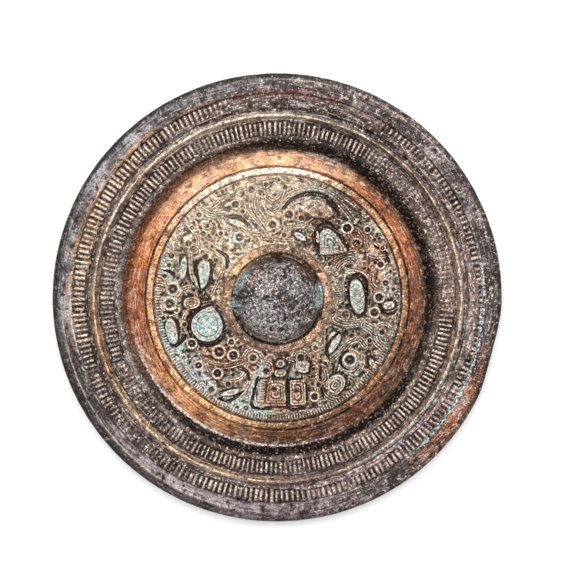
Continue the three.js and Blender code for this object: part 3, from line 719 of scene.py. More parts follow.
class Skin:
    """Everything that carving, use and burial added to the turned blank, in millimetres."""

    GRID = 0.12
    CLOSE_BLUR, WIDE_BLUR = 0.75, 2.2

    def __init__(self, section, relief):
        self.section = section
        self.relief = relief
        reach = section.field_outer + 0.5
        count = int(2 * reach / self.GRID) + 1
        self.start = -reach
        line = self.start + np.arange(count) * self.GRID
        east, north = (side.ravel() for side in np.meshgrid(line, line))
        carving = Carving(*turned(east, north, DRAWING_TURN), relief)
        self.carved = carving.heights().reshape(count, count)
        close, wide = self.blurred(self.CLOSE_BLUR), self.blurred(self.WIDE_BLUR)
        # The wide blur darkens the ground round the larger mounds, which the material paints as dirt and
        # painted shade
        self.stands_out = 0.85 * (self.carved - close) + 0.7 * np.minimum(close - wide, 0)

    def blurred(self, width):
        """The carved field with its detail smeared over a width."""
        waves = np.fft.fftfreq(len(self.carved), self.GRID)
        falloff = np.exp(-2 * (math.pi * width) ** 2 * waves ** 2)
        return np.fft.ifft2(np.fft.fft2(self.carved) * np.outer(falloff, falloff)).real

    def read(self, grid, x, y):
        """A grid's value at each point, between its four nearest cells."""
        last = grid.shape[0] - 1.001
        column = np.clip((x - self.start) / self.GRID, 0, last)
        row = np.clip((y - self.start) / self.GRID, 0, last)
        i, j = column.astype(int), row.astype(int)
        u, v = column - i, row - j
        low = grid[j, i] * (1 - u) + grid[j, i + 1] * u
        high = grid[j + 1, i] * (1 - u) + grid[j + 1, i + 1] * u
        return low * (1 - v) + high * v

    def combs(self, radius, angle, points):
        """Depth of the gaps between the teeth, and 1 on a tooth to -1 in a gap."""
        cut = self.section
        depth = np.zeros(len(radius))
        shade = np.zeros(len(radius))
        wear = smooth(-0.6, 0.1, fractal(points, 9, 31))
        rings = ((cut.outer_start, cut.outer_end, cut.outer_teeth, 5, OUTER_WEAR),
                 (cut.inner_start, cut.inner_end, cut.inner_teeth, 6, INNER_WEAR))
        for outer, inner, teeth, seed, worn_arcs in rings:
            draw = np.random.default_rng(seed)
            late, wide, long_, high = draw.uniform(-1, 1, (4, teeth))
            place = angle / (2 * math.pi) * teeth
            tooth = np.floor(place).astype(int) % teeth
            aside = np.abs(place % 1 - 0.5 + 0.07 * late[tooth])
            across = 0.24 + 0.05 * wide[tooth]
            kept = 0.55 + 0.45 * wear
            low = np.full(len(radius), inner)
            for middle, spread, fade, start in worn_arcs:
                around = np.cos(angle - math.radians(middle) - DRAWING_TURN)
                edges = math.cos(math.radians(spread)), math.cos(math.radians(spread * 0.7))
                inside = smooth(*edges, around)
                kept *= 1 - inside * (1 - fade)
                low += inside * start * (outer - inner)
            along = np.abs(radius - (outer + low) / 2)
            half = (outer - low) / 2
            reach = half * (0.86 + 0.14 * long_[tooth])
            bar = smooth(across + 0.13, across - 0.05, aside)
            bar *= smooth(reach + 0.3, reach - 0.1, along)
            band = smooth(half + 0.15, half - 0.15, along)
            fade = kept * (0.85 + 0.15 * high[tooth])
            depth += band * (1 - bar) * fade * cut.tooth_depth
            shade += band * (2 * bar - 1) * fade
        return depth, shade

    def corrosion(self, radius, points):
        """Roughness and pits, strongest on the rim and the knob."""
        share = np.interp(radius, [0, 13, 18, 38, 42, 47, 56, 64, 70],
                          [1, 1, 0.4, 0.3, 0.5, 0.6, 0.7, 1, 1])
        rough = fractal(points, 2.4, 41, 4)
        pits = smooth(0.3, 0.65, fractal(points, 1.5, 47, 3))
        return share * (self.relief.crust * rough - self.relief.pitting * pits)

    def on_top(self, points):
        """How much each point of the back rises, and how much it stands out from the rest."""
        x, y = points[:, 0], points[:, 1]
        radius, angle = np.hypot(x, y), np.arctan2(y, x)
        cut = self.section
        field = smooth(cut.field_inner, cut.field_inner + 0.5, radius)
        field *= smooth(cut.field_outer, cut.field_outer - 0.35, radius)
        flat = np.column_stack((x, y, np.zeros(len(x))))
        depth, teeth = self.combs(radius, angle, flat)
        worn = self.corrosion(radius, flat)
        lift = field * self.read(self.carved, x, y) - depth + worn
        shade = field * self.read(self.stands_out, x, y) / self.relief.thread
        return lift, np.clip(shade + 0.8 * teeth + 2 * worn, -1, 1)

    def moved(self, points):
        """The blank's points after carving, wear and corrosion."""
        cut = self.section
        radius = np.hypot(points[:, 0], points[:, 1])
        angle = np.arctan2(points[:, 1], points[:, 0])
        height = points[:, 2].copy()
        back = (height > cut.field - 1) & (radius < cut.radius - cut.shoulder_round / 2)
        face = height < 0.2
        lift, _ = self.on_top(points)
        height[back] += lift[back]
        height[face] += 0.05 * np.abs(fractal(points[face], 6, 61))
        brim = smooth(cut.comb_outer, cut.radius, radius)
        eaten = cut.edge_wear(angle) + 1.6 * self.relief.crust * np.abs(fractal(points, 3.2, 67))
        shrink = np.minimum((radius - brim * eaten) / np.maximum(radius, 0.01), 1)
        shrink = np.minimum(shrink, cut.radius / np.maximum(radius, 0.01))
        moved = points * np.column_stack((shrink, shrink, np.ones(len(shrink))))
        moved[:, 2] = np.clip(height, 0, cut.knob_top)
        return moved


# Where pale verdigris lies on the drawing: x, y, half length, half width, turn, strength
VERDIGRIS = [
    (-21.9, -7.6, 5.4, 5.4, 60, 1.0), (25.1, 0.8, 5.4, 1.9, -82, 0.6), (15.8, 18.4, 3.6, 2.0, -64, 0.75),
    (-23.8, 7.2, 4.4, 1.9, 78, 0.7), (-14.6, 19.6, 2.0, 1.4, 0, 0.65), (-5.8, -24, 4.6, 1.1, 74, 0.8),
    (-8.4, -31.4, 5.0, 2.2, 62, 0.75), (-6.4, -35.6, 3.6, 1.8, 0, 0.7), (7.4, 19.8, 2.0, 0.9, -30, 0.6),
    (18.2, -15.4, 3.2, 1.3, 64, 0.6), (-35, -11, 5, 1.6, 100, 0.6),
    (-34.6, 9.6, 4.4, 1.6, 96, 0.5), (-32.4, -15.4, 7, 2.2, -64, 0.8), (-24.8, -25.2, 6.6, 2.2, -45, 0.8),
    (-14, -32.6, 6, 1.6, -23, 0.75), (22, -23, 7, 3, 30, 0.3),
    (6.6, -23.4, 2.2, 1.2, 0, 0.45), (-15, -30, 4.2, 1.4, 14, 0.5),
    (-11.6, 5.6, 0.6, 4.4, -32, 0.7), (13.0, 1.2, 0.6, 4.0, 0, 0.75), (-13.4, -1.6, 0.8, 2.2, 10, 0.6),
    (29, -9.4, 4.6, 1.8, -50, 0.35),
    (-29.6, 9, 4.6, 0.9, 84, 0.4), (34.6, 3.4, 5.4, 1.4, 88, 0.3), (12, 33.4, 7, 1.2, -6, 0.3),
]


# Where the carving is warm brown, with the same columns
WARMTH = [
    (-18, -18, 6.5, 4.2, -14, 1.0), (-27.6, -6, 3, 2, 70, 0.7), (24.6, 19, 4.4, 3.2, -60, 0.8),
    (3.6, 26.4, 3.4, 2.2, 0, 0.7), (-1.4, -29.4, 5.2, 5.2, 0, 0.55), (6.6, -29.4, 3.2, 4.8, 0, 0.55),
    (29, 7, 3, 5, 20, 0.6), (-26, 6, 2.4, 4, 0, 0.4), (-22, 21, 5, 3, 0, 0.3), (12, 26.4, 5, 2, 0, 0.4),
    (-4, 19.4, 5, 1.6, 0, 0.6), (12, -19, 4, 3, 0, 0.35), (-24.6, -0.4, 4, 1.6, 0, 0.7),
    (-18.4, 9.6, 3, 1.2, 68, 0.4), (2, 19.8, 2, 1.2, 0, 0.7), (30, -27, 5, 3, 40, 0.4),
]


def stained(stains, x, y):
    """How much of a stain lies at each point of the back, from 0 to 1."""
    east, north = turned(x, y, DRAWING_TURN)
    total = np.zeros(len(x))
    for at_x, at_y, long, wide, turn, strength in stains:
        along, across = turned(east - at_x, north - at_y, math.radians(turn))
        away = np.hypot(along / (long + 1), across / (wide + 1))
        total = np.maximum(total, strength * smooth(1.1, 0.55, away))
    return total


def apply(piece, modifier):
    """Applies a modifier of the active piece."""
    bpy.context.view_layer.objects.active = piece
    bpy.ops.object.modifier_apply(modifier=modifier.name)


def positions(mesh):
    """Every vertex of a mesh as rows of x, y, z in millimetres."""
    flat = np.empty(len(mesh.vertices) * 3)
    mesh.vertices.foreach_get("co", flat)
    return flat.reshape(-1, 3) * MM


def turned_blank(section, turns):
    """A closed blank with all the rings, turned from the half section."""
    bpy.ops.object.select_all(action="DESELECT")
    bpy.ops.mesh.primitive_plane_add(size=1 / MM, location=(0, 0, 0))
    blank = bpy.context.active_object
    blank.name = "bronze_mirror_casting"
    bpy.ops.object.mode_set(mode="EDIT")
    bpy.ops.mesh.select_all(action="SELECT")
    bpy.ops.mesh.merge(type="CENTER")
    profile = section.profile()
    for before, after in zip(profile, profile[1:]):
        move = ((after[0] - before[0]) / MM, 0, (after[1] - before[1]) / MM)
        bpy.ops.mesh.extrude_region_move(TRANSFORM_OT_translate={"value": move})
    bpy.ops.object.mode_set(mode="OBJECT")
    lathe = blank.modifiers.new("lathe", "SCREW")
    lathe.axis = "Z"
    lathe.angle = 2 * math.pi
    lathe.steps = turns
    lathe.render_steps = turns
    lathe.use_merge_vertices = True
    lathe.merge_threshold = 1e-6
    apply(blank, lathe)
    bpy.ops.object.mode_set(mode="EDIT")
    bpy.ops.mesh.select_all(action="SELECT")
    bpy.ops.mesh.remove_doubles(threshold=2e-6)
    bpy.ops.mesh.normals_make_consistent(inside=False)
    bpy.ops.object.mode_set(mode="OBJECT")
    return blank


def cord_hole_cutter(section):
    """A bar with a rounded back, as wide and high as the hole and longer than the knob."""
    rise = section.hole_arch / MM
    low = (section.field + section.hole_sill) / MM
    height = section.hole_height / MM
    bpy.ops.object.select_all(action="DESELECT")
    bpy.ops.mesh.primitive_cube_add(size=1, location=(0, 0, low + height / 2))
    cutter = bpy.context.active_object
    cutter.name = "cord_hole_cutter"
    bpy.ops.object.mode_set(mode="EDIT")
    bpy.ops.transform.resize(value=(2.4 * section.knob_radius / MM, 2 * rise, height))
    bpy.ops.mesh.select_all(action="DESELECT")
    bpy.ops.object.mode_set(mode="OBJECT")
    mesh = cutter.data
    for edge in mesh.edges:
        ends = [mesh.vertices[k].co for k in edge.vertices]
        edge.select = all(end.z > 0 for end in ends) and abs(ends[0].y - ends[1].y) < rise
    bpy.ops.object.mode_set(mode="EDIT")
    bpy.ops.mesh.select_mode(type="EDGE")
    bpy.ops.mesh.bevel(offset=rise * 0.999, segments=8)
    bpy.ops.mesh.select_all(action="SELECT")
    stretch = section.hole_width / (2 * section.hole_arch)
    bpy.ops.transform.resize(value=(1, stretch, 1))
    bpy.ops.object.mode_set(mode="OBJECT")
    bpy.ops.object.transform_apply(location=True, rotation=True, scale=True)
    return cutter


def bored(piece, cutter):
    """The piece with the cord hole cut through its knob."""
    bpy.ops.object.select_all(action="DESELECT")
    piece.select_set(True)
    bore = piece.modifiers.new("bore", "BOOLEAN")
    bore.operation = "DIFFERENCE"
    bore.solver = "MANIFOLD"
    bore.object = cutter
    apply(piece, bore)
    bpy.data.objects.remove(cutter)


def mark(mesh, name, values):
    """Writes one number per vertex for the material to read."""
    attribute = mesh.attributes.new(name, "FLOAT", "POINT")
    attribute.data.foreach_set("value", values.astype(np.float32))


class CastMirror(bpy.types.Operator):
    """Turns the blank, carves and corrodes its back and bores the cord hole"""

    bl_idname = "bronze_mirror.cast"
    bl_label = "Cast the mirror"
    TURNS, QUICK_TURNS = 1416, 708  # steps of the blank round its axis
    FACES, QUICK_FACES = 196000, 90000  # triangles that are kept
    FEWEST_FACES = 1000
    SHARP_EDGE = math.radians(68)

    def execute(self, context):
        section = Section(context.scene.mirror_sizes)
        skin = Skin(section, Millimetres(context.scene.mirror_relief))
        piece = turned_blank(section, self.TURNS)
        mesh = piece.data
        mesh.vertices.foreach_set("co", (skin.moved(positions(mesh)) / MM).ravel())
        mesh.update()
        thin = piece.modifiers.new("thin", "DECIMATE")
        triangles = 2 * len(mesh.polygons)
        thin.ratio = self.FACES / triangles
        apply(piece, thin)
        bored(piece, cord_hole_cutter(section))
        if len(mesh.polygons) < self.FEWEST_FACES:
            raise RuntimeError("The cord hole left no casting")
        self.mark_surface(mesh, section, skin)
        bpy.ops.object.select_all(action="DESELECT")
        piece.select_set(True)
        context.view_layer.objects.active = piece
        bpy.ops.object.shade_smooth_by_angle(angle=self.SHARP_EDGE)
        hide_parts(NODE)
        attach(piece, "root")
        return {"FINISHED"}

    def mark_surface(self, mesh, section, skin):
        """Notes for the material what stands out, what is sunk and where the stains lie."""
        points = positions(mesh)
        radius = np.hypot(points[:, 0], points[:, 1])
        back = points[:, 2] > section.field - 1
        _, shade = skin.on_top(points)
        # Inside the cord hole is marked fully sunk, so the material paints it dark as painted shade
        in_bore = (radius < section.knob_radius - 2.5) & (np.abs(points[:, 1]) < section.hole_width / 2)
        floor = section.field + section.hole_sill
        in_bore &= (points[:, 2] > floor - 0.1) & (points[:, 2] < floor + section.hole_height + 0.1)
        shade = np.where(in_bore, -1, np.where(back, shade, 0))
        mark(mesh, "relief", shade)
        for name, stains in (("verdigris", VERDIGRIS), ("warmth", WARMTH)):
            mark(mesh, name, np.where(back, stained(stains, points[:, 0], points[:, 1]), 0.1))


class Wire:
    """A socket that Python arithmetic carries on, with one Math node for each step."""

    def __init__(self, maker, socket):
        self.maker = maker
        self.socket = socket

    def math(self, operation, *values, clamp=False):
        settings = {"operation": operation, "use_clamp": clamp}
        return self.maker.add("Math", settings, dict(enumerate(values)))

    def __add__(self, other):
        return self.math("ADD", self, other)

    def __sub__(self, other):
        return self.math("SUBTRACT", self, other)

    def __mul__(self, other):
        return self.math("MULTIPLY", self, other)

    def __radd__(self, other):
        return self.math("ADD", other, self)

    def __rsub__(self, other):
        return self.math("SUBTRACT", other, self)

    def __rmul__(self, other):
        return self.math("MULTIPLY", other, self)

    def __truediv__(self, other):
        return self.math("DIVIDE", self, other)

    def __pow__(self, other):
        return self.math("POWER", self, other)

    def kept(self):
        """The value held between 0 and 1."""
        return self.math("ADD", self, 0, clamp=True)

    def between(self, low, high):
        """0 at low and 1 at high, with an easy rise between."""
        settings = {"interpolation_type": "SMOOTHSTEP"}
        return self.maker.add("MapRange", settings, {"Value": self, 1: low, 2: high})


class Finish:
    """One procedural material and the nodes in it."""

    def __init__(self, name):
        self.material = bpy.data.materials.new(name)
        self.material.use_nodes = True
        self.tree = self.material.node_tree
        self.tree.nodes.clear()

    def add(self, kind, settings, values, output=0):
        """A node of a type, with its settings set first and then its sockets."""
        node = self.tree.nodes.new("ShaderNode" + kind)
        for name, setting in settings.items():
            if name == "stops":
                ramp = node.color_ramp
                while len(ramp.elements) < len(setting):
                    ramp.elements.new(1.0)
                for stop, (place, shade) in zip(ramp.elements, setting):
                    stop.position = place
                    stop.color = (*shade, 1.0)
            else:
                setattr(node, name, setting)
        for name, value in values.items():
            if isinstance(value, Wire):
                self.tree.links.new(value.socket, node.inputs[name])
            else:
                node.inputs[name].default_value = value
        return None if output is None else Wire(self, node.outputs[output])

    def mix(self, share, under, over, blend="MIX"):
        """One colour laid over another."""
        fill = [(*c, 1.0) if isinstance(c, tuple) else c for c in (under, over)]
        settings = {"data_type": "RGBA", "blend_type": blend, "clamp_factor": True}
        return self.add("Mix", settings, {0: share, 6: fill[0], 7: fill[1]}, output=2)

    def shifted(self, place, by):
        """A position moved along all three axes."""
        return self.add("VectorMath", {"operation": "ADD"}, {0: place, 1: (by, by, by)})

    def cloud(self, place, size, detail=3.0, rough=0.6, warp=0.0):
        """Noise from 0 to 1 with lumps about size millimetres wide."""
        values = {"Vector": place, "Scale": 1 / size, "Detail": detail, "Roughness": rough}
        values["Distortion"] = warp
        return self.add("TexNoise", {"noise_dimensions": "3D"}, values)


def shades(group):
    """The colours of a property group as plain tuples."""
    return {name: tuple(getattr(group, name)) for name in type(group).__annotations__}


class Patina(Finish):
    """The casting's material. Each method lays more over the base colour, in order."""

    CONTRAST = 1.22
    MIDDLE_GREY = 0.33  # the brightness that the added contrast leaves as it is

    def __init__(self, cut, shade):
        super().__init__("worn bronze")
        self.cut = cut
        self.shade = shade
        place = self.add("TexCoord", {}, {}, output="Object")
        place = self.add("VectorMath", {"operation": "SCALE"}, {0: place, "Scale": MM})
        self.x, self.y, self.z = (self.add("SeparateXYZ", {}, {0: place}, output=k) for k in range(3))
        self.radius = (self.x * self.x + self.y * self.y) ** 0.5
        self.relief = self.noted("relief")
        self.broad = self.cloud(place, 14, 2.0)
        self.patch = self.cloud(place, 5, 4.0, 0.65, 0.4)
        self.fleck = self.cloud(place, 1.3, 4.0, 0.7)
        self.grit = self.cloud(place, 0.5, 3.0, 0.8)
        self.salt = self.cloud(self.shifted(place, 37.0), 0.8, 3.0, 0.75)
        self.blotch = self.cloud(self.shifted(place, 91.0), 8, 5.0, 0.7, 0.3)
        self.on_rim = self.radius.between(cut.comb_outer - 1, cut.comb_outer + 0.5)
        self.band = self.ring(cut.first_line, cut.step_foot, 0.4)
        self.field = self.ring(cut.field_inner, cut.field_outer, 0.3)
        self.combed = self.ring(cut.inner_end, cut.outer_start)
        self.wall = self.z.between(cut.rim_top - 0.6, cut.rim_top - 1.6) * self.radius.between(67, 68.5)
        self.under = self.z.between(1.2, 0.4)
        wander = (self.radius + (self.patch - 0.5) * 0.8) / cut.radius
        self.base = self.add("ValToRGB", {"stops": self.rings()}, {0: wander})

    def noted(self, name):
        """A number that the casting's vertices carry."""
        return self.add("Attribute", {"attribute_name": name}, {}, output="Fac")

    def lobe(self, direction, width):
        """1 in one direction from the middle and 0 beyond its width, in degrees on the drawing."""
        turn = math.radians(direction) + DRAWING_TURN
        lean = (self.x * math.cos(turn) + self.y * math.sin(turn)) / self.radius
        return lean.between(math.cos(math.radians(width)), 1.0)

    def ring(self, inner, outer, soft=0.6):
        """1 between two radii in millimetres."""
        inside = self.radius.between(outer + soft, outer - soft)
        return self.radius.between(inner - soft, inner + soft) * inside

    def lay(self, share, name):
        """Lays a named colour over the base."""
        self.base = self.mix(share, self.base, self.shade[name])

    def rings(self):
        """The main colour of each ring as stops along the radius."""
        cut = self.cut
        zones = [
            (0, cut.knob_radius - 0.6, "knob"), (cut.knob_radius, cut.ring_inner, "dirt"),
            (cut.ring_inner + 0.5, cut.field_inner - 0.2, "knob_ring"),
            (cut.field_inner + 0.4, cut.field_outer - 0.1, "field"),
            (cut.field_outer + cut.line / 2,) * 2 + ("engraved",),
            (cut.fillet_inner + 0.1, cut.fillet_outer - 0.1, "fillet"),
            (cut.fillet_outer + cut.line / 2,) * 2 + ("engraved",),
            (cut.first_line + 0.1, cut.step_foot - 0.4, "copper"),
            (cut.step_foot + 0.3, cut.step_top - 0.2, "step"),
            (cut.step_top + 0.4, cut.inner_end - 0.2, "slope"),
            (cut.inner_end + 0.1, cut.inner_start - 0.1, "comb"),
            (cut.inner_start + 0.1, cut.ridge_inner - 0.1, "hollow"),
            (cut.ridge_inner + 0.4, cut.ridge_outer - 0.3, "ridge"),
            (cut.ridge_outer, cut.outer_end - 0.3, "hollow"),
            (cut.outer_end, cut.outer_start, "comb"),
            # The outermost stop is painted shade on the rounded outer edge
            (cut.comb_outer, cut.radius - 1.1, "rim"), (cut.radius - 0.3, cut.radius, "rim_edge"),
        ]
        stops = []
        for start, end, name in zones:
            stops += [(place / cut.radius, self.shade[name]) for place in sorted({start, end})]
        return stops

    def stain(self):
        """Stains by ring and direction, with painted light and shade among them, the lowest layer first.

        A lobe has a direction and a half width in degrees as in the usual view, and a ring
        has two radii in millimetres.
        """
        cut, lobe, ring, radius = self.cut, self.lobe, self.ring, self.radius
        on_rim, band, field, salt = self.on_rim, self.band, self.field, self.salt
        broad, patch, fleck, blotch = self.broad, self.patch, self.fleck, self.blotch
        around = {0: self.x / radius * 14, 1: self.y / radius * 14, 2: radius * 2.2}
        streak = self.cloud(self.add("CombineXYZ", {}, around), 1.0, 3.0, 0.6)
        outside = radius.between(cut.step_top, cut.ridge_inner)
        inside = radius.between(cut.step_top, cut.step_foot)
        ridge = ring(cut.ridge_inner, cut.ridge_outer, 0.3)
        fillet = ring(cut.fillet_inner, cut.fillet_outer, 0.3)
        comb_ring = ring(cut.outer_end, cut.outer_start, 0.4)
        for share, name in (
            (lobe(140, 75) * on_rim * broad.between(0.3, 0.5) * 0.6, "ash"),
            (lobe(186, 32) * on_rim * 0.7, "dirt"),
            (lobe(80, 52) * on_rim * 0.25, "dirt"),
            (lobe(345, 34) * on_rim * 0.6, "dirt"),
            (lobe(250, 34) * on_rim * 0.5, "mauve"),
            (lobe(155, 28) * comb_ring * 0.4, "gold"),
            (lobe(68, 24) * ring(46.5, 60.5) * 0.4, "dirt"),
            (lobe(188, 24) * ring(58, 60.5) * 0.4, "dirt"),
            (lobe(272, 30) * ring(47, 56) * 0.3, "dirt"),
            (lobe(185, 65) * ring(47.5, 50.4) * 0.35, "pale"),
            (lobe(350, 30) * ring(47.5, 50.4) * 0.5, "comb"),
            (lobe(130, 42) * ring(45, 47.6) * 0.7, "copper"),
            (lobe(210, 22) * ring(44.6, 47.6) * 0.4, "mauve"),
            (lobe(186, 30) * band * 0.35, "dirt"),
            (lobe(238, 34) * ring(cut.fillet_inner, cut.first_line, 0.4) * 0.6, "gold"),
            (lobe(236, 50) * band * 0.4, "gold"),
            (lobe(255, 70) * fillet * 0.5, "gold"),
            (lobe(58, 34) * ring(cut.field_inner, cut.step_foot) * 0.3, "dirt"),
            (lobe(300, 50) * field * 0.25, "dirt"),
            (lobe(208, 30) * ring(29, cut.field_outer) * 0.5, "pale"),
            (lobe(95, 80) * ring(13.8, 17.2) * 0.45, "earth"),
            (lobe(255, 55) * outside * patch.between(0.35, 0.6) * 0.6, "mauve"),
            (lobe(305, 30) * ring(58, 63) * 0.6, "mauve"),
            (lobe(15, 60) * on_rim * 0.35, "dirt"),
            (lobe(30, 60) * outside * patch.between(0.45, 0.65) * 0.4, "mauve"),
            (lobe(328, 24) * ring(64.8, 70) * broad.between(0.2, 0.4), "ember"),
            # Painted sheen: a pale streak on the rim's left side
            (lobe(175, 26) * ring(65, 67.5) * patch.between(0.4, 0.6) * 0.6, "pale"),
            (lobe(250, 30) * ring(64.6, 67) * patch.between(0.4, 0.6) * 0.5, "pale"),
            (lobe(84, 38) * ring(60, 62.6) * 0.8, "dirt"),
            (lobe(92, 34) * ring(63, 65.6) * patch.between(0.4, 0.6), "rust"),
            (lobe(183, 14) * ring(61, 65) * patch.between(0.35, 0.5), "rust"),
            (lobe(238, 50) * ring(50, 64.5) * patch.between(0.4, 0.58) * 0.45, "wine"),
            (lobe(250, 70) * ring(44.6, 48.6) * 0.45, "wine"),
            (lobe(155, 50) * ring(61, 65.6) * patch.between(0.6, 0.38) * 0.7, "ember"),
            (lobe(152, 48) * ring(63.8, 65.2, 0.4) * fleck.between(0.4, 0.56) * 0.7, "gold"),
            (lobe(222, 38) * ring(50, 63.5) * 0.45, "dirt"),
            (lobe(55, 45) * ring(47, 63) * 0.3, "dirt"),
            (lobe(222, 60) * ridge * 0.95, "gold"),
            (lobe(110, 60) * ridge * patch.between(0.35, 0.55) * 0.6, "crest"),
            (lobe(320, 60) * ridge * patch.between(0.55, 0.4) * 0.5, "hollow"),
            (lobe(345, 22) * ridge * patch.between(0.4, 0.6) * 0.7, "gold"),
            (ring(56.75, 56.95, 0.2) * 0.6, "dirt"),
            (lobe(150, 60) * comb_ring * fleck.between(0.42, 0.6) * 0.4, "crest"),
            (patch.between(0.42, 0.62) * ring(cut.field_inner, cut.step_foot) * 0.5, "copper"),
            (lobe(158, 62) * ring(46.6, 48.7, 0.4) * 0.85, "copper"),
            # Painted highlight: pale flecks over the upper part of everything inside the step
            (lobe(105, 55) * inside * fleck.between(0.3, 0.55) * 0.35, "crest"),
            (lobe(100, 50) * fillet * 0.6, "crest"),
            (lobe(100, 45) * ridge * 0.5, "crest"),
            # Painted shadow: a dark band over the step and the slope at the top
            (lobe(72, 40) * ring(46.8, 50.4, 0.8) * 0.85, "dirt"),
            (lobe(72, 18) * ring(58, 60.6) * 0.5, "dirt"),
            (lobe(255, 42) * (ring(53, 55.4) + ring(58, 60.4)) * 0.4, "wine"),
            (lobe(236, 40) * ridge * 0.5, "crest"),
            # Painted shade that dims the key light's highlight on the upper part of the knob ring
            (lobe(92, 75) * ring(14, 17.2) * 0.6, "dirt"),
            (lobe(60, 28) * ring(29, cut.field_outer) * 0.35, "dirt"),
            # Painted shade on the knob's upper half and painted light on its lower half, to even out the key
            # light
            (lobe(90, 88) * ring(3, 12.4, 2.0) * 0.45, "dirt"),
            (lobe(270, 88) * ring(3, 12.4, 2.0) * 0.4, "pale"),
            (lobe(310, 85) * inside * radius.between(36, 40) * 0.6, "dirt"),
            (lobe(25, 60) * ring(45, 51, 1.0) * 0.6, "dirt"),
            (lobe(280, 65) * ring(47, 49.6) * 0.8, "dirt"),
            (band * streak.between(0.52, 0.64) * 0.75, "dirt"),
            (band * streak.between(0.46, 0.34) * 0.4, "crest"),
            # Painted sheen on the copper band's upper left
            (band * lobe(105, 60) * patch.between(0.42, 0.6) * 0.6, "gold"),
            (band * lobe(300, 75) * patch.between(0.4, 0.6) * 0.55, "dirt"),
            (radius.between(50, 51) * streak.between(0.52, 0.6) * 0.6, "dirt"),
            (radius.between(50, 51) * streak.between(0.47, 0.38) * 0.5, "pale"),
            (lobe(80, 90) * ring(11.4, 13.9, 0.8) * 0.7, "dirt"),
            # Painted shadow of the knob on the lower left of the knob ring
            (lobe(240, 50) * ring(13.8, 17.2) * 0.65, "dirt"),
            (lobe(140, 40) * ring(14.2, 17.2) * 0.5, "gold"),
            (radius.between(11.5, 9) * patch.between(0.48, 0.6) * 0.6, "mauve"),
            (radius.between(12.8, 11.5) * fleck.between(0.5, 0.6) * 0.8, "pale"),
            (radius.between(12.8, 11.5) * salt.between(0.52, 0.6) * 0.8, "salt"),
            (radius.between(13, 12) * salt.between(0.47, 0.4) * 0.9, "rim_edge"),
            (ring(9.5, 14) * patch.between(0.47, 0.36) * 0.4, "earth"),
            # Painted highlight: a thin bright line along the knob's lower edge
            (lobe(270, 62) * ring(12.9, 13.4, 0.2) * 0.8, "crest"),
            (radius.between(13, 11) * blotch.between(0.5, 0.6) * 0.6, "dirt"),
            (field * broad.between(0.46, 0.56) * 0.4, "olive"),
            (self.noted("warmth") * patch.between(0.25, 0.5), "earth"),
            (blotch.between(0.47, 0.62) * (0.35 + 0.3 * on_rim), "dirt"),
            (blotch.between(0.48, 0.36) * (0.15 + 0.3 * on_rim), "pale"),
            # Painted shade on the rim's rounded shoulder and outer edge, with thin painted highlights along
            # it
            (lobe(225, 62) * radius.between(67.2, 67.9) * 0.75, "rim_edge"),
            (lobe(0, 70) * radius.between(67.8, 68.6) * 0.7, "rim_edge"),
            (lobe(225, 55) * ring(66.8, 67.1, 0.25) * 0.5, "crest"),
            (lobe(60, 50) * ring(67.9, 68.2, 0.25) * 0.45, "crest"),
            (lobe(135, 85) * radius.between(68.3, 68.9) * 0.9, "rim_edge"),
            (lobe(140, 62) * ring(67.5, 67.8, 0.25) * 0.35, "pale"),
        ):
            self.lay(share, name)

    def blacken(self):
        """The plain edge wall, then soot, then dirt and painted shade in what is sunk, and wear on what
        stands out.
        """
        patch, fleck, relief, on_rim = self.patch, self.fleck, self.relief, self.on_rim
        side = self.mix(patch.between(0.4, 0.6), self.shade["hollow"], self.shade["rim"])
        side = self.mix(self.broad.between(0.5, 0.6) * 0.4, side, self.shade["earth"])
        self.base = self.mix(self.wall, self.base, side)
        rough = 1 - 0.6 * self.band - 0.5 * self.lobe(235, 70) * on_rim
        self.rough = (rough - 0.4 * self.lobe(145, 75) * on_rim) * (1 - 0.8 * self.wall)
        self.soot = (patch.between(0.52, 0.68) * 0.4 + fleck.between(0.53, 0.66) * 0.7) * self.rough
        self.lay(self.soot.kept(), "dirt")
        self.lay(fleck.between(0.45, 0.34) * 0.45 * self.rough, "crest")
        bleached = self.lobe(118, 58) * self.field
        self.lay(bleached * patch.between(0.3, 0.55) * 0.6, "cream")
        # Dirt and painted shade in whatever is sunk: grooves, gaps between teeth and the cord hole
        sunk = relief.between(0.05, -0.6) * (0.95 - 0.2 * bleached)
        self.lay(sunk * (1 - 0.25 * self.combed * fleck.between(0.45, 0.58)), "dirt")
        proud = relief.between(0.1, 0.7) * (0.35 + 0.65 * self.grit.between(0.4, 0.58))
        self.lay(proud * (1 - 0.5 * self.combed), "crest")

    def encrust(self):
        """Pale salts in their stains, broken bright lines along some edges that are partly salts and partly
        painted highlights, and loose specks.
        """
        lobe, ring, salt, relief = self.lobe, self.ring, self.salt, self.relief
        salts = self.noted("verdigris") * self.patch.between(0.3, 0.5) * relief.between(-0.4, 0.0)
        self.salts = (salts * (0.35 + 0.9 * self.fleck.between(0.36, 0.58))).kept()
        bloom = self.mix(salt.between(0.44, 0.58), self.shade["verdigris"], self.shade["salt"])
        bloom = self.mix(relief.between(0.1, 0.6) * 0.8, bloom, self.shade["salt"])
        self.base = self.mix(self.salts, self.base, bloom)
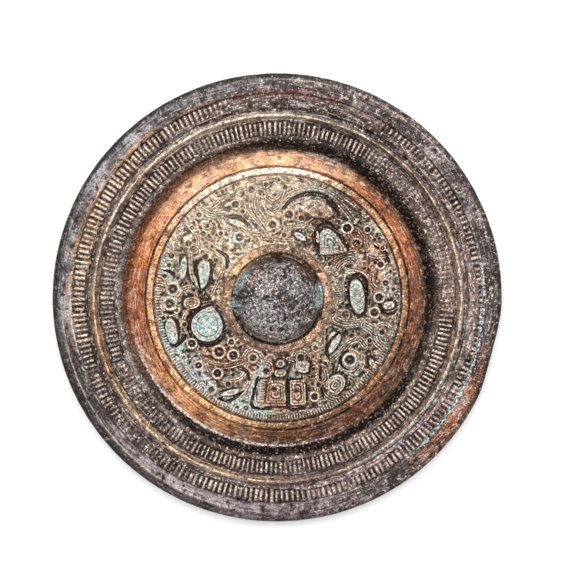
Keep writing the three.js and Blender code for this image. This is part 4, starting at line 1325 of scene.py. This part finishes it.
        # Painted highlights in the salts' colour along the step's foot, the outer comb, the ridge and the
        # knob's lower edge
        glints = lobe(240, 62) * ring(46.3, 46.9, 0.3) + lobe(71, 9) * ring(46.4, 47, 0.3)
        glints = glints + (lobe(185, 24) + 1.6 * lobe(345, 40)) * ring(63.6, 64.4, 0.4)
        glints = glints + 2 * lobe(325, 42) * ring(57.2, 58, 0.3) + lobe(255, 46) * ring(13.2, 13.7, 0.3)
        self.lay((glints * salt.between(0.46, 0.54)).kept() * 0.9, "salt")
        self.lay(salt.between(0.6, 0.68) * self.rough * 0.7, "crest")
        self.lay(salt.between(0.43, 0.35) * self.rough * 0.7, "dirt")

    def sharpen(self):
        """Fine speckle and more contrast over the whole back."""
        speckle = 0.38 + 1.25 * self.grit.between(0.38, 0.62)
        grey = self.add("CombineXYZ", {}, {0: speckle, 1: speckle, 2: speckle})
        self.base = self.mix(0.35 + 0.45 * self.rough, self.base, grey, "MULTIPLY")
        self.base = self.add("Gamma", {}, {0: self.base, "Gamma": self.CONTRAST})
        lifted = self.MIDDLE_GREY ** (1 - self.CONTRAST)
        self.base = self.mix(1.0, self.base, (lifted, lifted, lifted), "MULTIPLY")

    def tarnish_face(self):
        """The plain reflecting face, which shows none of the back's rings."""
        patch, shade = self.patch, self.shade
        tarnish = self.mix(patch.between(0.42, 0.6) * 0.7, shade["face"], shade["hollow"])
        tarnish = self.mix(self.blotch.between(0.5, 0.66) * 0.2, tarnish, shade["earth"])
        self.bloomed = self.broad.between(0.48, 0.64) * self.fleck.between(0.34, 0.64)
        tarnish = self.mix(self.bloomed * 0.5, tarnish, shade["verdigris"])
        tarnish = self.mix(self.grit.between(0.5, 0.66) * 0.3, tarnish, shade["dirt"])
        self.base = self.mix(self.under, self.base, tarnish)

    def shine(self):
        """Crust is rough and no longer metallic. Bare bronze shines a little."""
        knob = self.radius.between(14, 12)
        crusted = (self.soot + self.salts + self.on_rim * 0.4 + knob * 0.6).kept()
        crusted = crusted * (1 - self.under) + (0.3 + 0.5 * self.bloomed) * self.under
        bump = self.grit * 0.5 + self.fleck * 0.5
        normal = self.add("Bump", {}, {"Strength": 0.8, "Distance": 0.35 / MM, "Height": bump})
        shader = self.add("BsdfPrincipled", {}, {
            "Base Color": self.base, "Metallic": 0.75 - 0.6 * crusted,
            "Roughness": 0.36 + 0.34 * crusted, "Normal": normal,
        })
        self.add("OutputMaterial", {}, {"Surface": shader}, output=None)


class PatinateMirror(bpy.types.Operator):
    """Gives the casting its worn, tarnished and encrusted bronze"""

    bl_idname = "bronze_mirror.patinate"
    bl_label = "Patinate the mirror"

    def execute(self, context):
        piece = bpy.data.objects.get("bronze_mirror_casting")
        if piece is None:
            raise RuntimeError("The mirror has to be cast first")
        section = Section(context.scene.mirror_sizes)
        patina = Patina(section, shades(context.scene.mirror_finish))
        patina.stain()
        patina.blacken()
        patina.encrust()
        patina.sharpen()
        patina.tarnish_face()
        patina.shine()
        piece.data.materials.clear()
        piece.data.materials.append(patina.material)
        return {"FINISHED"}


def aimed(thing, at, up):
    """Turns a camera or light to look at a point, with a given direction upwards."""
    back = (thing.location - at).normalized()
    side = up.cross(back).normalized()
    facing = Matrix((side, back.cross(side), back)).transposed()
    thing.rotation_euler = facing.to_euler()


# Soft lights: metres to the right of the mirror, towards its top and above it, size and power
LAMPS = {
    "key_light": (-0.15, 0.26, 0.78, 0.5, 4.2),
    "fill_light": (0.4, 0.25, 0.7, 0.6, 1.8),
    "top_light": (0.0, 0.1, 0.9, 0.8, 2.2),
}


class SetMirrorStage(bpy.types.Operator):
    """Lays a pale floor and sets the camera and the soft lights"""

    bl_idname = "bronze_mirror.stage"
    bl_label = "Set the stage"
    FLOOR_SIZE = 6  # metres
    SENSOR_WIDTH = 36  # millimetres
    ROOM_LIGHT = 0.5

    def execute(self, context):
        stage = context.scene.mirror_stage
        right = Vector((math.cos(DRAWING_TURN), math.sin(DRAWING_TURN), 0))
        top = Vector((-math.sin(DRAWING_TURN), math.cos(DRAWING_TURN), 0))
        middle = Vector((0, 0, (LOW.z + HIGH.z) / 2))
        self.lay_floor(stage)
        self.set_camera(context, stage, middle, right, top)
        for name, (across, up, high, size, power) in LAMPS.items():
            spot = right * across + top * up + Vector((0, 0, high))
            bpy.ops.object.light_add(type="AREA", location=spot)
            lamp = context.active_object
            lamp.name = name
            lamp.data.energy = power
            lamp.data.shape = "SQUARE"
            lamp.data.size = size
            aimed(lamp, middle, top)
        world = bpy.data.worlds.new("white_room")
        world.use_nodes = True
        background = world.node_tree.nodes["Background"]
        background.inputs["Color"].default_value = (1, 1, 1, 1)
        background.inputs["Strength"].default_value = self.ROOM_LIGHT
        context.scene.world = world
        context.scene.view_settings.view_transform = "Standard"
        return {"FINISHED"}

    def set_camera(self, context, stage, middle, right, top):
        """A camera almost straight above, which leans to the mirror's upper left."""
        side = top * math.cos(stage.lean) - right * math.sin(stage.lean)
        ahead = side * math.sin(stage.tilt) + Vector((0, 0, math.cos(stage.tilt)))
        bpy.ops.object.camera_add(location=middle + ahead * stage.distance)
        camera = context.active_object
        camera.name = "photo_camera"
        aimed(camera, middle, top)
        camera.data.sensor_width = self.SENSOR_WIDTH
        camera.data.lens = self.SENSOR_WIDTH * stage.distance / stage.view_width
        camera.data.shift_x = stage.shift_x
        camera.data.shift_y = stage.shift_y
        camera.data.clip_start = 0.01
        context.scene.camera = camera

    def lay_floor(self, stage):
        """A wide floor just under the mirror."""
        bpy.ops.object.select_all(action="DESELECT")
        bpy.ops.mesh.primitive_plane_add(size=self.FLOOR_SIZE, location=(0, 0, LOW.z))
        floor = bpy.context.active_object
        floor.name = "floor"
        bpy.ops.object.transform_apply(location=True, rotation=True, scale=True)
        paper = Finish("floor paper")
        values = {"Base Color": (*stage.floor, 1.0), "Roughness": 0.9}
        shader = paper.add("BsdfPrincipled", {}, values)
        paper.add("OutputMaterial", {}, {"Surface": shader}, output=None)
        floor.data.materials.append(paper.material)


class MirrorPanel(bpy.types.Panel):
    """The mirror's steps and sizes in the 3D view's sidebar"""

    bl_idname = "VIEW3D_PT_bronze_mirror"
    bl_label = "Bronze mirror"
    bl_space_type = "VIEW_3D"
    bl_region_type = "UI"
    bl_category = "Mirror"

    def draw(self, context):
        column = self.layout.column(align=True)
        for step in STEPS:
            column.operator(step.bl_idname)
        for name in GROUPS:
            group = getattr(context.scene, name)
            box = self.layout.box().column(align=True)
            for prop in type(group).__annotations__:
                box.prop(group, prop)


STEPS = (CastMirror, PatinateMirror, SetMirrorStage)
GROUPS = {
    "mirror_sizes": MirrorSizes, "mirror_relief": MirrorRelief,
    "mirror_finish": MirrorFinish, "mirror_stage": MirrorStage,
}


def register():
    for kind in (*GROUPS.values(), *STEPS, MirrorPanel):
        bpy.utils.register_class(kind)
    for name, kind in GROUPS.items():
        setattr(bpy.types.Scene, name, PointerProperty(type=kind))


def unregister():
    for name in GROUPS:
        delattr(bpy.types.Scene, name)
    for kind in (MirrorPanel, *reversed(STEPS), *reversed(GROUPS.values())):
        bpy.utils.unregister_class(kind)


def main():
    register()
    bpy.ops.bronze_mirror.cast()
    bpy.ops.bronze_mirror.patinate()
    bpy.ops.bronze_mirror.stage()
    bpy.context.view_layer.update()


if __name__ == "__main__":
    main()
